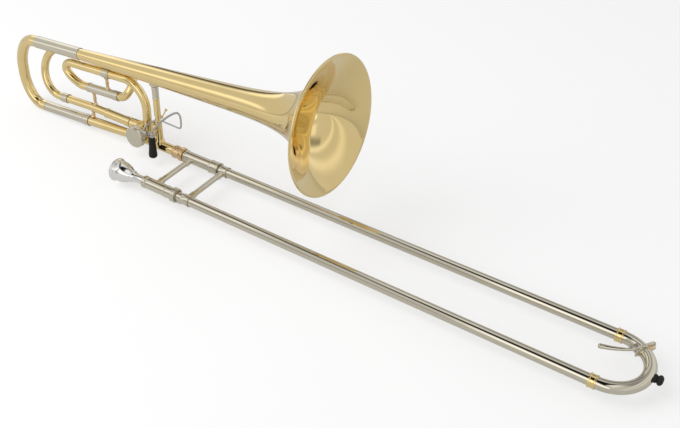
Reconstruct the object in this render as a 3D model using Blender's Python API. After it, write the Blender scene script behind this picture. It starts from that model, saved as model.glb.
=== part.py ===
"""Tenor trombone with an F attachment, each piece a separate solid.

Lengths are in millimetres and turn into metres through MM. The slide frame has X forward along the
slide tubes and Z up. The bell frame shares its origin, just in front of the valve, but is tilted up
and leans away: its X runs forward along the gooseneck and its Z runs up to the bell.
"""
import math

import bmesh
import bpy
from mathutils import Matrix, Vector

MM = 0.001
GAP = 0.3
X = Vector((1, 0, 0))
Y = Vector((0, 1, 0))
Z = Vector((0, 0, 1))

# How the bell section sits on the slide
BELL_TILT = 3.7
BELL_LEAN = 5.0

# Bell, soldered from a stem and a flare
BELL_RIM_RADIUS = 105.0
BELL_RIM_X = 375.9
BELL_SEAM_BACK = 136.0
BELL_HEIGHT = 124.0
BELL_WALL = 0.7
BELL_SIDES = 36
STEM_END_X = -144.0
STEM_RADIUS = 9.6
STEM_GROWTH = 0.031
FLARE_LENGTH = 36.0
RIM_BEAD = 1.7

# Main tuning slide
TUNING_X = -247.0
TUNING_DEPTH = 41.0
TUNING_CORNER = 58.0
TUNING_LEAD = 10.6
UPPER_SLEEVE_RADIUS = STEM_RADIUS + 1.15
UPPER_SLEEVE_LENGTH = STEM_END_X + 6.4 - TUNING_X
UPPER_LEG_RADIUS = STEM_RADIUS + 0.05
UPPER_LEG_LENGTH = 90.0
LEG_CLEARANCE = 0.35
BOW_WALL = 0.6
UPPER_BOW_RADIUS = UPPER_LEG_RADIUS + LEG_CLEARANCE

# Gooseneck and slide receiver
NECK_X = -141.5
NECK_BIG_RADIUS = 8.9
NECK_SMALL_RADIUS = 7.55
NECK_WALL = 0.7
LOWER_SLEEVE_RADIUS = NECK_BIG_RADIUS + 0.35
LOWER_LEG_RADIUS = NECK_BIG_RADIUS - 0.65
LOWER_LEG_LENGTH = 88.0
LOWER_BOW_RADIUS = NECK_BIG_RADIUS + 0.2
RECEIVER_RADIUS = 8.35
RECEIVER_BORE = 6.9
RECEIVER_END = 72.7

# Rotary valve
VALVE_X = -6.0
VALVE_H = 11.5
PORT_OFFSET = 11.0
PORT_BORE = 5.6
PORT_SIDES = 15
ROTOR_RADIUS = 15.6
ROTOR_TURN = 90.0
CASING_RADIUS = 17.5
CASING_BORE = ROTOR_RADIUS + 0.4
CASING_NEAR = -19.0
CASING_FAR = 17.0
CASING_FLOOR = 3.0
CASING_SIDES = 32
SHAFT_RADIUS = 2.9
SHAFT_CLEARANCE = 0.4
KNUCKLE_RADIUS = 9.1
STOP_ARM_REACH = 11.0
STOP_ARM_NEAR = CASING_FAR + 2.8
STOP_PIN_RADIUS = 2.5
BUMPER_REACH = 12.7
BUMPER_SWING = 23.0
RECEIVER_START = VALVE_X + CASING_RADIUS + 1.9

# Thumb lever
LEVER_SIDE = -20.0
LEVER_H = 26.0
LEVER_SHAFT_RADIUS = 1.6
BRACKET_X = RECEIVER_START + 3.2
BRACKET_LENGTH = 7.2
LINK_X = VALVE_X + CASING_RADIUS + 2.0
LINK_SIDE = CASING_FAR + 10.3
LINK_H = 34.3
LINK_THICKNESS = 2.8
LINK_ROOM = 0.8
LINK_EYE_RADIUS = 2.7

# F attachment tubing
F_RADIUS = 7.0
F_WALL = 0.5
F_SIDES = 12
F_REAR_X = -206.0
F_REAR_H = 29.5
F_REAR_RADIUS = F_RADIUS + 0.1
F_TOP_H = BELL_HEIGHT - 11.5
F_TOP_SIDE = 17.0
F_FRONT_X = -54.0
F_LOW_H = 65.7
F_HIGH_H = 102.3
F_BOW_X = -161.0
F_LOW_MOUTH_X = -127.0
F_HIGH_MOUTH_X = -85.5
F_SLIDE_RADIUS = F_RADIUS + 0.25
F_LEG_RADIUS = F_SLIDE_RADIUS - 0.9
F_LEG_BORE = F_LEG_RADIUS - 0.55
F_LOWER_SLEEVE_RADIUS = F_SLIDE_RADIUS + 0.5
F_UPPER_FERRULE_RADIUS = F_SLIDE_RADIUS + 1.05
DOWN_CORNER_X = F_FRONT_X + 16
DOWN_CORNER = 46.0
DOWN_LEAN = -4.0
DOWN_SEAT = 20.0
DOWN_KNUCKLE_RADIUS = F_SLIDE_RADIUS + 1.45

# Struts and braces
STRUT_RADIUS = 2.8
STRUT_FOOT_RADIUS = 4.2
SADDLE_X = -170.0
SADDLE_RADIUS = 5.0
BELL_BRACE_X = BRACKET_X + 15.4
BELL_BRACE_JOIN_H = 52.7

# Hand slide
SLIDE_SPACING = 92.0
SLIDE_END = 814.0
OUTER_RADIUS = 7.6
OUTER_WALL = 0.5
OUTER_START = 146.0
TUBE_SIDES = 24
INNER_RADIUS = OUTER_RADIUS - OUTER_WALL - GAP
INNER_WALL = 0.6
STOCKING_LENGTH = 110.0
STOCKING_STEP = 0.05
INNER_SHORT = 14.0
END_BOW_RADIUS = OUTER_RADIUS + 0.4
BOW_LEAD = 7.0
BARREL_START = 93.0
NEAR_BARREL_START = 89.0
BARREL_BORE = OUTER_RADIUS + 0.75
BARREL_RADIUS = BARREL_BORE + 0.95
BARREL_MOUTH = 160.0
NEAR_BARREL_MOUTH = 152.0
COLLAR_START = 162.0
COLLAR_END = 177.0
COLLAR_RADIUS = OUTER_RADIUS + 1.0
INNER_BRACE_X = 103.0
OUTER_BRACE_X = 169.0
BRACE_RADIUS = 4.5
BRACE_SOCKET_RADIUS = 5.6
BRACE_SOCKET_LENGTH = 9.0
MOUTHPIECE_RIM_X = 19.0
MOUTHPIECE_END_X = 92.5
MOUTHPIECE_RADIUS = 19.0
KEY_ANGLE = 55.0
KEY_INSET = 15.0
KEY_PIVOT_Z = 8.5
NIPPLE_HEIGHT = 12.5
SEAT_SIDES = 32


def clear_scene():
    """Remove whatever the scene holds."""
    for item in list(bpy.data.objects):
        bpy.data.objects.remove(item, do_unlink=True)


def new_material(name, colour, roughness, metallic):
    """Make one Principled material."""
    material = bpy.data.materials.new(name)
    material.use_nodes = True
    shader = material.node_tree.nodes["Principled BSDF"]
    shader.inputs["Base Color"].default_value = (*colour, 1.0)
    shader.inputs["Roughness"].default_value = roughness
    shader.inputs["Metallic"].default_value = metallic
    return material


def brass():
    return new_material("lacquered_brass", (0.82, 0.56, 0.22), 0.18, 1.0)


def nickel():
    return new_material("nickel_silver", (0.74, 0.72, 0.67), 0.2, 1.0)


def copper():
    return new_material("rose_brass", (0.78, 0.42, 0.27), 0.25, 1.0)


def rubber():
    return new_material("black_rubber", (0.015, 0.015, 0.016), 0.6, 0.0)


def steel():
    return new_material("bright_steel", (0.62, 0.62, 0.63), 0.22, 1.0)


def new_frame(name, parent, place=(0, 0, 0)):
    """Make an empty that carries pieces; its place is in its parent's millimetres."""
    frame = bpy.data.objects.new(name, None)
    bpy.context.scene.collection.objects.link(frame)
    frame.parent = parent
    frame.location = Vector(place) * MM
    return frame


def add_object(name, mesh, frame, material):
    """Put a mesh in the scene, smooth apart from its real edges."""
    mesh.shade_smooth()
    mesh.set_sharp_from_angle(angle=math.radians(35))
    item = bpy.data.objects.new(name, mesh)
    bpy.context.scene.collection.objects.link(item)
    item.parent = frame
    if material:
        mesh.materials.clear()
        mesh.materials.append(material)
    return item


def origin_of(frame):
    """Where a frame's own origin lies, in the millimetres that its pieces are written in."""
    return Vector(frame.get("offset", (0, 0, 0)))


def pivot_frame(name, parent, place):
    """An empty on a joint's axis, whose pieces are still written in the parent's millimetres."""
    frame = new_frame(name, parent, Vector(place) - origin_of(parent))
    frame["offset"] = tuple(place)
    return frame


def spun_mesh(profile, sides, closed):
    """Spin a profile of (distance, radius) pairs round Z."""
    mesh = bpy.data.meshes.new("spun")
    work = bmesh.new()
    corners = [work.verts.new((radius * MM, 0, distance * MM)) for distance, radius in profile]
    pairs = list(zip(corners, corners[1:]))
    if closed:
        pairs.append((corners[-1], corners[0]))
    edges = [work.edges.new(pair) for pair in pairs]
    bmesh.ops.spin(work, geom=corners + edges, cent=(0, 0, 0), axis=(0, 0, 1),
                   angle=math.tau, steps=sides, use_merge=True)
    bmesh.ops.remove_doubles(work, verts=work.verts, dist=1e-6)
    bmesh.ops.recalc_face_normals(work, faces=work.faces)
    work.to_mesh(mesh)
    work.free()
    return mesh


def turned(name, frame, start, direction, profile, material, sides=16, closed=True):
    """A lathe-turned piece. The profile's distances run from start along direction."""
    item = add_object(name, spun_mesh(profile, sides, closed), frame, material)
    item.location = (Vector(start) - origin_of(frame)) * MM
    item.rotation_mode = "QUATERNION"
    item.rotation_quaternion = Vector(direction).to_track_quat("Z", "Y")
    return item


def pipe(name, frame, start, direction, length, outer, bore, material, sides=16):
    """A plain straight tube."""
    wall = [(0, outer), (length, outer), (length, bore), (0, bore)]
    return turned(name, frame, start, direction, wall, material, sides)


def cylinder(name, frame, start, direction, length, radius, material=None, sides=16):
    """A plain solid cylinder."""
    profile = [(0, 0), (0, radius), (length, radius), (length, 0)]
    return turned(name, frame, start, direction, profile, material, sides, closed=False)


def swept_mesh(points, radii, sides, capped):
    """Sweep a circle along a path through Blender's curve bevel."""
    curve = bpy.data.curves.new("path", "CURVE")
    curve.dimensions = "3D"
    curve.bevel_depth = MM
    curve.bevel_resolution = (sides - 4) // 2
    curve.use_fill_caps = capped
    spline = curve.splines.new("POLY")
    spline.points.add(len(points) - 1)
    for point, place, radius in zip(spline.points, points, radii):
        point.co = (*(Vector(place) * MM), 1.0)
        point.radius = radius
    carrier = bpy.data.objects.new("path", curve)
    bpy.context.scene.collection.objects.link(carrier)
    graph = bpy.context.evaluated_depsgraph_get()
    mesh = bpy.data.meshes.new_from_object(carrier.evaluated_get(graph))
    bpy.data.objects.remove(carrier, do_unlink=True)
    bpy.data.curves.remove(curve)
    work = bmesh.new()
    work.from_mesh(mesh)
    bmesh.ops.remove_doubles(work, verts=work.verts, dist=1e-6)
    bmesh.ops.recalc_face_normals(work, faces=work.faces)
    work.to_mesh(mesh)
    work.free()
    return mesh


def spread(first, last, count):
    """Evenly changing values, one for each of count points."""
    return [first + (last - first) * index / (count - 1) for index in range(count)]


def bent_rod(name, frame, points, radii, material=None, sides=8):
    """A solid rod along a path."""
    if not isinstance(radii, list):
        radii = [radii] * len(points)
    shifted = [Vector(point) - origin_of(frame) for point in points]
    return add_object(name, swept_mesh(shifted, radii, sides, True), frame, material)


def bent_tube(name, frame, points, radii, wall, material, sides=16):
    """A hollow tube along a path; its wall grows inwards."""
    if not isinstance(radii, list):
        radii = [radii] * len(points)
    shifted = [Vector(point) - origin_of(frame) for point in points]
    item = add_object(name, swept_mesh(shifted, radii, sides, False), frame, material)
    shell = item.modifiers.new("wall", "SOLIDIFY")
    shell.thickness = wall * MM
    shell.offset = -1.0
    return item


def arc(centre, across, up, start, end, steps):
    """Points of an arc: centre + across * cos + up * sin, angles in degrees."""
    angles = [math.radians(angle) for angle in spread(start, end, steps + 1)]
    return [Vector(centre) + Vector(across) * math.cos(a) + Vector(up) * math.sin(a) for a in angles]


def block(name, frame, centre, axes, size, material=None):
    """A box whose sides follow the three given axes."""
    mesh = bpy.data.meshes.new(name)
    work = bmesh.new()
    bmesh.ops.create_cube(work, size=1.0)
    turn = Matrix([axis.normalized() for axis in axes]).transposed().to_4x4()
    place = Matrix.Translation((Vector(centre) - origin_of(frame)) * MM)
    grow = Matrix.Diagonal((size[0] * MM, size[1] * MM, size[2] * MM, 1.0))
    bmesh.ops.transform(work, matrix=place @ turn @ grow, verts=work.verts)
    work.to_mesh(mesh)
    work.free()
    return add_object(name, mesh, frame, material)


def hide_guide(guide):
    guide.hide_render = True
    guide.display_type = "WIRE"


def combine(piece, guide, operation):
    """Add a guide's shape to a piece, or cut it away."""
    step = piece.modifiers.new(operation.lower(), "BOOLEAN")
    step.operation = operation
    step.object = guide
    step.solver = "EXACT"
    hide_guide(guide)


def join(piece, *guides):
    for guide in guides:
        combine(piece, guide, "UNION")


def cut(piece, *guides):
    for guide in guides:
        combine(piece, guide, "DIFFERENCE")


def strut(name, frame, start, end, start_radius, end_radius, thickness, foot, material):
    """A brace between two tubes' axes, with flared feet, cut to sit on the tubes."""
    start, end = Vector(start), Vector(end)
    length = (end - start).length
    flare = 3.5
    profile = [(0, 0), (0, foot), (start_radius + 0.8, foot), (start_radius + flare, thickness),
               (length - end_radius - flare, thickness), (length - end_radius - 0.8, foot),
               (length, foot), (length, 0)]
    return turned(name, frame, start, end - start, profile, material, 16, closed=False)


def bell_radius(x):
    """Outer radius of the bell: a slow cone that flares towards the rim."""
    cone = STEM_RADIUS + STEM_GROWTH * (x - STEM_END_X)
    cone_at_rim = STEM_RADIUS + STEM_GROWTH * (BELL_RIM_X - STEM_END_X)
    return cone + (BELL_RIM_RADIUS - cone_at_rim) * math.exp((x - BELL_RIM_X) / FLARE_LENGTH)


def bell_slope(x):
    step = 0.1
    return (bell_radius(x + step) - bell_radius(x - step)) / (2 * step)


def bell_inside(x):
    """The point of the inner surface that faces the outer one at x."""
    slope = bell_slope(x)
    size = math.hypot(1, slope)
    return (x + BELL_WALL * slope / size, bell_radius(x) - BELL_WALL / size)


def make_bell(bell_frame, metal):
    """The bell in its two soldered pieces, with a rolled bead round the rim."""
    axis = (0, 0, BELL_HEIGHT)
    seam_x = BELL_RIM_X - BELL_SEAM_BACK
    flare = [4.5, 11, 20, 32, 48, 72, 100, BELL_SEAM_BACK - GAP / 2]
    bead_x = BELL_RIM_X - RIM_BEAD
    bead_radius = BELL_RIM_RADIUS - RIM_BEAD
    profile = []
    for angle in spread(0, 180, 5):
        turn = math.radians(angle)
        profile.append((bead_x + RIM_BEAD * math.cos(turn), bead_radius + RIM_BEAD * math.sin(turn)))
    profile += [(BELL_RIM_X - back, bell_radius(BELL_RIM_X - back)) for back in flare]
    profile += [bell_inside(BELL_RIM_X - back) for back in reversed([1.0] + flare)]
    turned("bell_flare", bell_frame, axis, X, profile, metal, BELL_SIDES)
    stem = spread(seam_x - GAP / 2, STEM_END_X, 6)
    profile = [(x, bell_radius(x)) for x in stem] + [bell_inside(x) for x in reversed(stem)]
    turned("bell_stem", bell_frame, axis, X, profile, metal, BELL_SIDES)


def make_tuning_sleeves(bell_frame, metal):
    """Outer tubes of the main tuning slide: each takes an inner leg and grips its brass tube."""
    rear = TUNING_X + 0.6
    length = UPPER_SLEEVE_LENGTH
    bore = UPPER_LEG_RADIUS + LEG_CLEARANCE
    grip = STEM_RADIUS + 0.55
    upper = [(0, UPPER_SLEEVE_RADIUS), (length, UPPER_SLEEVE_RADIUS), (length, grip),
             (length - 17, bore), (0, bore)]
    turned("upper_tuning_sleeve", bell_frame, (rear, 0, BELL_HEIGHT), X, upper, metal)
    ferrule = NECK_BIG_RADIUS + 1.3
    grip = NECK_BIG_RADIUS + GAP + 0.1
    bore = LOWER_LEG_RADIUS + GAP
    length = NECK_X + 8 - rear
    lower = [(0, LOWER_SLEEVE_RADIUS), (length - 14, LOWER_SLEEVE_RADIUS), (length - 12, ferrule),
             (length, ferrule), (length, grip), (length - 9, grip), (length - 9, bore), (0, bore)]
    turned("lower_tuning_sleeve", bell_frame, (rear, 0, 0), X, lower, metal)


def make_main_tuning_slide(bell_frame, metal, leg_metal):
    frame = pivot_frame("main_tuning_slide", bell_frame, (TUNING_X, 0, BELL_HEIGHT / 2))
    corner_x = TUNING_X - TUNING_LEAD
    back = -X * TUNING_DEPTH
    up = Z * TUNING_CORNER
    points = [Vector((TUNING_X, 0, BELL_HEIGHT))]
    points += arc((corner_x, 0, BELL_HEIGHT - TUNING_CORNER), back, up, 90, 0, 5)
    points += arc((corner_x, 0, TUNING_CORNER), back, up, 0, -90, 5)
    points.append(Vector((TUNING_X, 0, 0)))
    radii = spread(UPPER_BOW_RADIUS, LOWER_BOW_RADIUS, len(points))
    bent_tube("main_tuning_bow", frame, points, radii, BOW_WALL, metal)
    start_x = TUNING_X - TUNING_LEAD + GAP
    for name, height, bow_radius, radius, length in (
            ("upper_tuning_leg", BELL_HEIGHT, UPPER_BOW_RADIUS, UPPER_LEG_RADIUS, UPPER_LEG_LENGTH),
            ("lower_tuning_leg", 0, LOWER_BOW_RADIUS, LOWER_LEG_RADIUS, LOWER_LEG_LENGTH)):
        spigot = min(radius, bow_radius - BOW_WALL - GAP)
        bore = spigot - 0.5
        wall = [(0, spigot), (TUNING_LEAD, spigot), (TUNING_LEAD + 0.5, radius), (length, radius),
                (length, bore), (0, bore)]
        turned(name, frame, (start_x, 0, height), X, wall, leg_metal)


def make_gooseneck(bell_frame, metal):
    end_x = VALVE_X - CASING_RADIUS - 1.3
    end_h = VALVE_H - PORT_OFFSET
    points = [(NECK_X, 0, 0), (-100, 0, 0), (-60, 0, 0.1), (end_x - 9.2, 0, end_h), (end_x, 0, end_h)]
    slimming = NECK_BIG_RADIUS - NECK_SMALL_RADIUS
    radii = [NECK_BIG_RADIUS, NECK_BIG_RADIUS - slimming * 0.22, NECK_BIG_RADIUS - slimming * 0.63,
             NECK_SMALL_RADIUS, NECK_SMALL_RADIUS]
    bent_tube("gooseneck", bell_frame, points, radii, NECK_WALL, metal)


def make_receiver(slide_frame, metal):
    length = RECEIVER_END - RECEIVER_START
    lip = RECEIVER_RADIUS + 0.6
    wall = [(0, lip), (2, lip), (2.4, RECEIVER_RADIUS), (length, RECEIVER_RADIUS),
            (length, RECEIVER_BORE), (0, RECEIVER_BORE)]
    turned("slide_receiver", slide_frame, (RECEIVER_START, 0, 0), X, wall, metal)


def make_lock_nut(slide_frame, metal):
    start = RECEIVER_END - 8.7
    frame = pivot_frame("lock_nut_turn", slide_frame, (start + 13, 0, 0))
    size = RECEIVER_RADIUS
    bore = size + GAP + 0.1
    throat = RECEIVER_BORE + 0.95
    profile = [(0, size + 1.45), (2, size + 2.45), (6, size + 2.45), (8, size + 1.85), (14, size + 2.25),
               (15, size + 3.25), (20.5, size + 3.25), (22, size + 2.25), (22, throat), (13.5, throat),
               (13.5, bore), (0, bore)]
    turned("lock_nut", frame, (start, 0, 0), X, profile, metal, 20)


def make_casing(bell_frame, metal):
    """Valve casing: a drum with four knuckles, open at the near end."""
    depth = CASING_FAR - CASING_NEAR
    near = (VALVE_X, CASING_NEAR, VALVE_H)
    casing = cylinder("rotor_casing", bell_frame, near, Y, depth, CASING_RADIUS, metal, CASING_SIDES)
    low = VALVE_H - PORT_OFFSET
    high = VALVE_H + PORT_OFFSET
    down = down_direction()
    down_end = down_tube_end()
    reach = CASING_RADIUS + 0.5
    knuckles = [((VALVE_X - 6, 0, low), -X, reach, KNUCKLE_RADIUS),
                ((VALVE_X - 6, 0, high), -X, reach, KNUCKLE_RADIUS),
                ((VALVE_X + 6, 0, low), X, CASING_RADIUS - 5.3, RECEIVER_RADIUS),
                (down_end + down * 12, -down, 16.4, DOWN_KNUCKLE_RADIUS)]
    for index, (place, direction, length, radius) in enumerate(knuckles):
        join(casing, cylinder(f"knuckle_{index}", bell_frame, place, direction, length, radius))
    floor = depth - CASING_FLOOR
    hole = SHAFT_RADIUS + SHAFT_CLEARANCE
    cavity = [(-1, 0), (-1, CASING_BORE), (floor, CASING_BORE), (floor, hole), (depth + 1, hole),
              (depth + 1, 0)]
    cut(casing, turned("casing_cavity", bell_frame, near, Y, cavity, None, CASING_SIDES, False))
    socket = NECK_SMALL_RADIUS + SHAFT_CLEARANCE
    step = CASING_RADIUS - 7.3
    rear_bore = [(0, 0), (0, PORT_BORE), (step, PORT_BORE), (step, socket), (step + 9.8, socket),
                 (step + 9.8, 0)]
    for index, height in enumerate((low, high)):
        place = (VALVE_X - 8, 0, height)
        cut(casing, turned(f"rear_port_{index}", bell_frame, place, -X, rear_bore, None, PORT_SIDES, False))
    place = (VALVE_X + 8, 0, low)
    cut(casing, cylinder("front_low_port", bell_frame, place, X, 20, PORT_BORE, None, PORT_SIDES))
    socket = F_SLIDE_RADIUS + GAP
    down_bore = [(0, 0), (0, PORT_BORE), (7.7, PORT_BORE), (7.7, socket), (20, socket), (20, 0)]
    place = down_end + down * 8
    cut(casing, turned("front_high_port", bell_frame, place, -down, down_bore, None, PORT_SIDES, False))


def make_rotor(bell_frame, metal, arm_metal):
    """Rotor with two open passages, its shaft, and the stop arm on the shaft's far end."""
    frame = pivot_frame("rotor_turn", bell_frame, (VALVE_X, 0, VALVE_H))
    near = CASING_NEAR + 1.2
    body_end = CASING_FAR - CASING_FLOOR - 0.6 - near
    shaft_end = STOP_ARM_NEAR + 4.4 - near
    profile = [(0, 0), (0, SHAFT_RADIUS), (3.1, SHAFT_RADIUS), (3.1, ROTOR_RADIUS),
               (body_end, ROTOR_RADIUS), (body_end, SHAFT_RADIUS), (shaft_end, SHAFT_RADIUS),
               (shaft_end, 0)]
    rotor = turned("rotor", frame, (VALVE_X, near, VALVE_H), Y, profile, metal, 28, False)
    for index, offset in enumerate((-PORT_OFFSET, PORT_OFFSET)):
        start = (VALVE_X - 25, 0, VALVE_H + offset)
        cut(rotor, cylinder(f"passage_{index}", frame, start, X, 50, PORT_BORE))
    half_turn = math.radians(ROTOR_TURN / 2)
    reach = Vector((math.cos(half_turn), 0, math.sin(half_turn)))
    across = Vector((-math.sin(half_turn), 0, math.cos(half_turn)))
    centre = Vector((VALVE_X, STOP_ARM_NEAR, VALVE_H))
    arm = cylinder("stop_arm", frame, centre, Y, 3.6, SHAFT_RADIUS + 3.1, arm_metal, 20)
    bar_centre = centre + reach * STOP_ARM_REACH / 2 + Y * 1.8
    join(arm, block("stop_arm_bar", frame, bar_centre, (reach, Y, across), (STOP_ARM_REACH, 3.0, 4.2)))
    pin = centre + reach * STOP_ARM_REACH
    join(arm, cylinder("stop_arm_pin", frame, pin, Y, 5.4, STOP_PIN_RADIUS, None, 12))
    cut(arm, cylinder("stop_arm_hole", frame, centre - Y, Y, 6, SHAFT_RADIUS + GAP))


def make_valve_trim(bell_frame, metal, black):
    bore = CASING_RADIUS + GAP
    cap = [(0, 0), (0, CASING_RADIUS - 1), (1.2, CASING_RADIUS + 0.9), (2, CASING_RADIUS + 1.4),
           (10, CASING_RADIUS + 1.4), (10, bore), (4.7, bore), (4.7, 0)]
    turned("valve_cap", bell_frame, (VALVE_X, CASING_NEAR - 5, VALVE_H), Y, cap, metal, 28, False)
    pipe("bearing_plate", bell_frame, (VALVE_X, CASING_NEAR + 0.8, VALVE_H), Y, 3.1,
         CASING_BORE - 0.35, SHAFT_RADIUS + GAP, metal, 24)
    swing = ROTOR_TURN / 2 + BUMPER_SWING
    for name, angle in (("stop_bumper_upper", swing), ("stop_bumper_lower", -swing)):
        turn = math.radians(angle)
        place = (VALVE_X + BUMPER_REACH * math.cos(turn), CASING_FAR + GAP,
                 VALVE_H + BUMPER_REACH * math.sin(turn))
        profile = [(0, 0), (0, 2.4), (0.6, 2.2), (6.2, 2.2), (6.8, 1.6), (6.8, 0)]
        turned(name, bell_frame, place, Y, profile, black, 12, closed=False)


def make_lever_bracket(bell_frame, slide_frame, metal):
    start = (BRACKET_X, LEVER_SIDE, LEVER_H)
    bracket = cylinder("lever_bracket", bell_frame, start, X, BRACKET_LENGTH, 3.5, metal)
    foot_x = BRACKET_X + 3.4
    foot = Vector((foot_x, 0, -1.5))
    way = Vector((foot_x, LEVER_SIDE, LEVER_H)) - foot
    post = [(0, 0), (0, 3.6), (RECEIVER_RADIUS + 1.6, 3.6), (RECEIVER_RADIUS + 4.5, 2.6),
            (way.length, 2.6), (way.length, 0)]
    join(bracket, turned("bracket_post", bell_frame, foot, way, post, None, 16, False))
    bore_start = (BRACKET_X - 7, LEVER_SIDE, LEVER_H)
    cut(bracket, cylinder("bracket_bore", bell_frame, bore_start, X, 30, LEVER_SHAFT_RADIUS + GAP))
    seat_start = (foot_x - 15, 0, 0)
    cut(bracket, cylinder("bracket_seat", slide_frame, seat_start, X, 40, RECEIVER_RADIUS + GAP,
                          None, SEAT_SIDES))


def make_thumb_lever(bell_frame, metal, black):
    """Lever shaft, upright wire with its loop, and the arm that reaches over to the link rod."""
    frame = pivot_frame("thumb_lever_turn", bell_frame, (BRACKET_X + 5.4, LEVER_SIDE, LEVER_H))
    side = LEVER_SIDE
    wire_x = BRACKET_X + BRACKET_LENGTH + 8.8
    start = LINK_X - 2.5
    shaft = wire_x + 1.4 - start
    lever = cylinder("thumb_lever", frame, (start, side, LEVER_H), X, shaft, LEVER_SHAFT_RADIUS, metal, 12)
    outline = [(0, -13), (1.2, 19), (2.7, 30), (7.4, 37.5), (15.4, 46), (28.4, 58.5), (44.9, 71.5),
               (57.4, 79.3), (63.4, 81), (67.7, 78.5), (69.4, 73), (69.4, 66), (69, 60), (67.2, 56.2),
               (63.4, 55), (55.4, 55.6), (43.4, 56.6), (30.4, 57.8)]
    loop = [(wire_x + forward, side, height) for forward, height in outline]
    radii = [1.75] * 9 + [1.7, 1.6, 1.5, 1.4, 1.3, 1.2, 1.2, 1.2, 1.2]
    bend = 15
    join(lever, bent_rod("lever_wire", frame, loop[:bend], radii[:bend]))
    join(lever, bent_rod("lever_wire_return", frame, loop[bend - 1:], radii[bend - 1:]))
    collar = [(0, 0), (0, 3.0), (1, 3.7), (8, 3.7), (9, 3.0), (9, 0)]
    collar_start = (wire_x + 1.6, side, 21)
    join(lever, turned("lever_collar", frame, collar_start, (0.14, 0, 1), collar, None, 16, False))
    end_side = LINK_SIDE - LINK_THICKNESS / 2 - LINK_ROOM
    ahead = max(LINK_X, down_tube_end().x + DOWN_KNUCKLE_RADIUS + LEVER_SHAFT_RADIUS + 1.4)
    middle_x = (LINK_X + ahead) / 2
    arm = [(LINK_X, side, LEVER_H), (LINK_X, side + 6.5, LINK_H - 1.3), (middle_x, side + 9.2, LINK_H + 1.6),
           (ahead, side + 14, LINK_H + 3.2), (ahead, side + 26, LINK_H + 3.2),
           (middle_x, LINK_SIDE - 16.5, LINK_H + 2.6), (LINK_X, LINK_SIDE - 8.3, LINK_H + 0.9),
           (LINK_X, LINK_SIDE - 4.8, LINK_H), (LINK_X, end_side, LINK_H)]
    join(lever, bent_rod("lever_arm", frame, arm, LEVER_SHAFT_RADIUS))
    sleeve = [(0, 0), (0, 3.4), (1.2, 5.8), (4, 7.2), (14, 6.6), (26, 5.8), (35, 5.6), (36, 4.8),
              (36, 2.1), (2.6, 2.1), (2.6, 0)]
    sleeve_start = (wire_x - 0.22, side, -16)
    turned("lever_sleeve", frame, sleeve_start, (1.2, 0, 32), sleeve, black, 16, False)


def make_link_rod(bell_frame, metal):
    """Link between the lever's arm and the stop arm; its lower pivot is left open."""
    frame = pivot_frame("link_turn", bell_frame, (LINK_X, LINK_SIDE, LINK_H))
    half_turn = math.radians(ROTOR_TURN / 2)
    high = Vector((LINK_X, LINK_SIDE, LINK_H))
    low = Vector((VALVE_X + STOP_ARM_REACH * math.cos(half_turn), LINK_SIDE,
                  VALVE_H + STOP_ARM_REACH * math.sin(half_turn)))
    back = Y * LINK_THICKNESS / 2
    rod = cylinder("link_rod", frame, high - back, Y, LINK_THICKNESS, LINK_EYE_RADIUS, metal)
    join(rod, cylinder("link_eye", frame, low - back, Y, LINK_THICKNESS, LINK_EYE_RADIUS))
    join(rod, cylinder("link_bar", frame, high, low - high, (high - low).length, 1.1, None, 8))


def make_spring(name, frame, start, axis, coil, wire, turns, pitch, metal):
    """A coil of round wire; prints its least gap to itself."""
    axis = Vector(axis).normalized()
    across = axis.orthogonal().normalized()
    up = axis.cross(across)
    per_turn = 9
    points = []
    for index in range(turns * per_turn + 1):
        angle = math.tau * index / per_turn
        along = axis * (pitch * index / per_turn)
        points.append(Vector(start) + along + (across * math.cos(angle) + up * math.sin(angle)) * coil)
    first = points[0] - (points[1] - points[0]).normalized() * 2 * wire
    last = points[-1] + (points[-1] - points[-2]).normalized() * 2 * wire
    points = [first] + points + [last]
    spans = [(a - b).length for i, a in enumerate(points) for b in points[i + 6:]]
    print(name, "least gap to itself in mm:", round(min(spans) - 2 * wire, 2))
    bent_rod(name, frame, points, wire, metal, sides=6)


def down_direction():
    lean = math.radians(DOWN_LEAN)
    return Vector((math.sin(lean), 0, -math.cos(lean)))


def down_corner_end():
    lean = math.radians(90 - DOWN_LEAN)
    centre = Vector((DOWN_CORNER_X, 0, F_HIGH_H - DOWN_CORNER))
    return centre + Vector((math.sin(lean), 0, math.cos(lean))) * DOWN_CORNER


def down_tube_end():
    """The down tube stops where it seats in the valve's upper front knuckle."""
    start = down_corner_end()
    return start + down_direction() * ((start.z - VALVE_H - DOWN_SEAT) / -down_direction().z)


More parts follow.
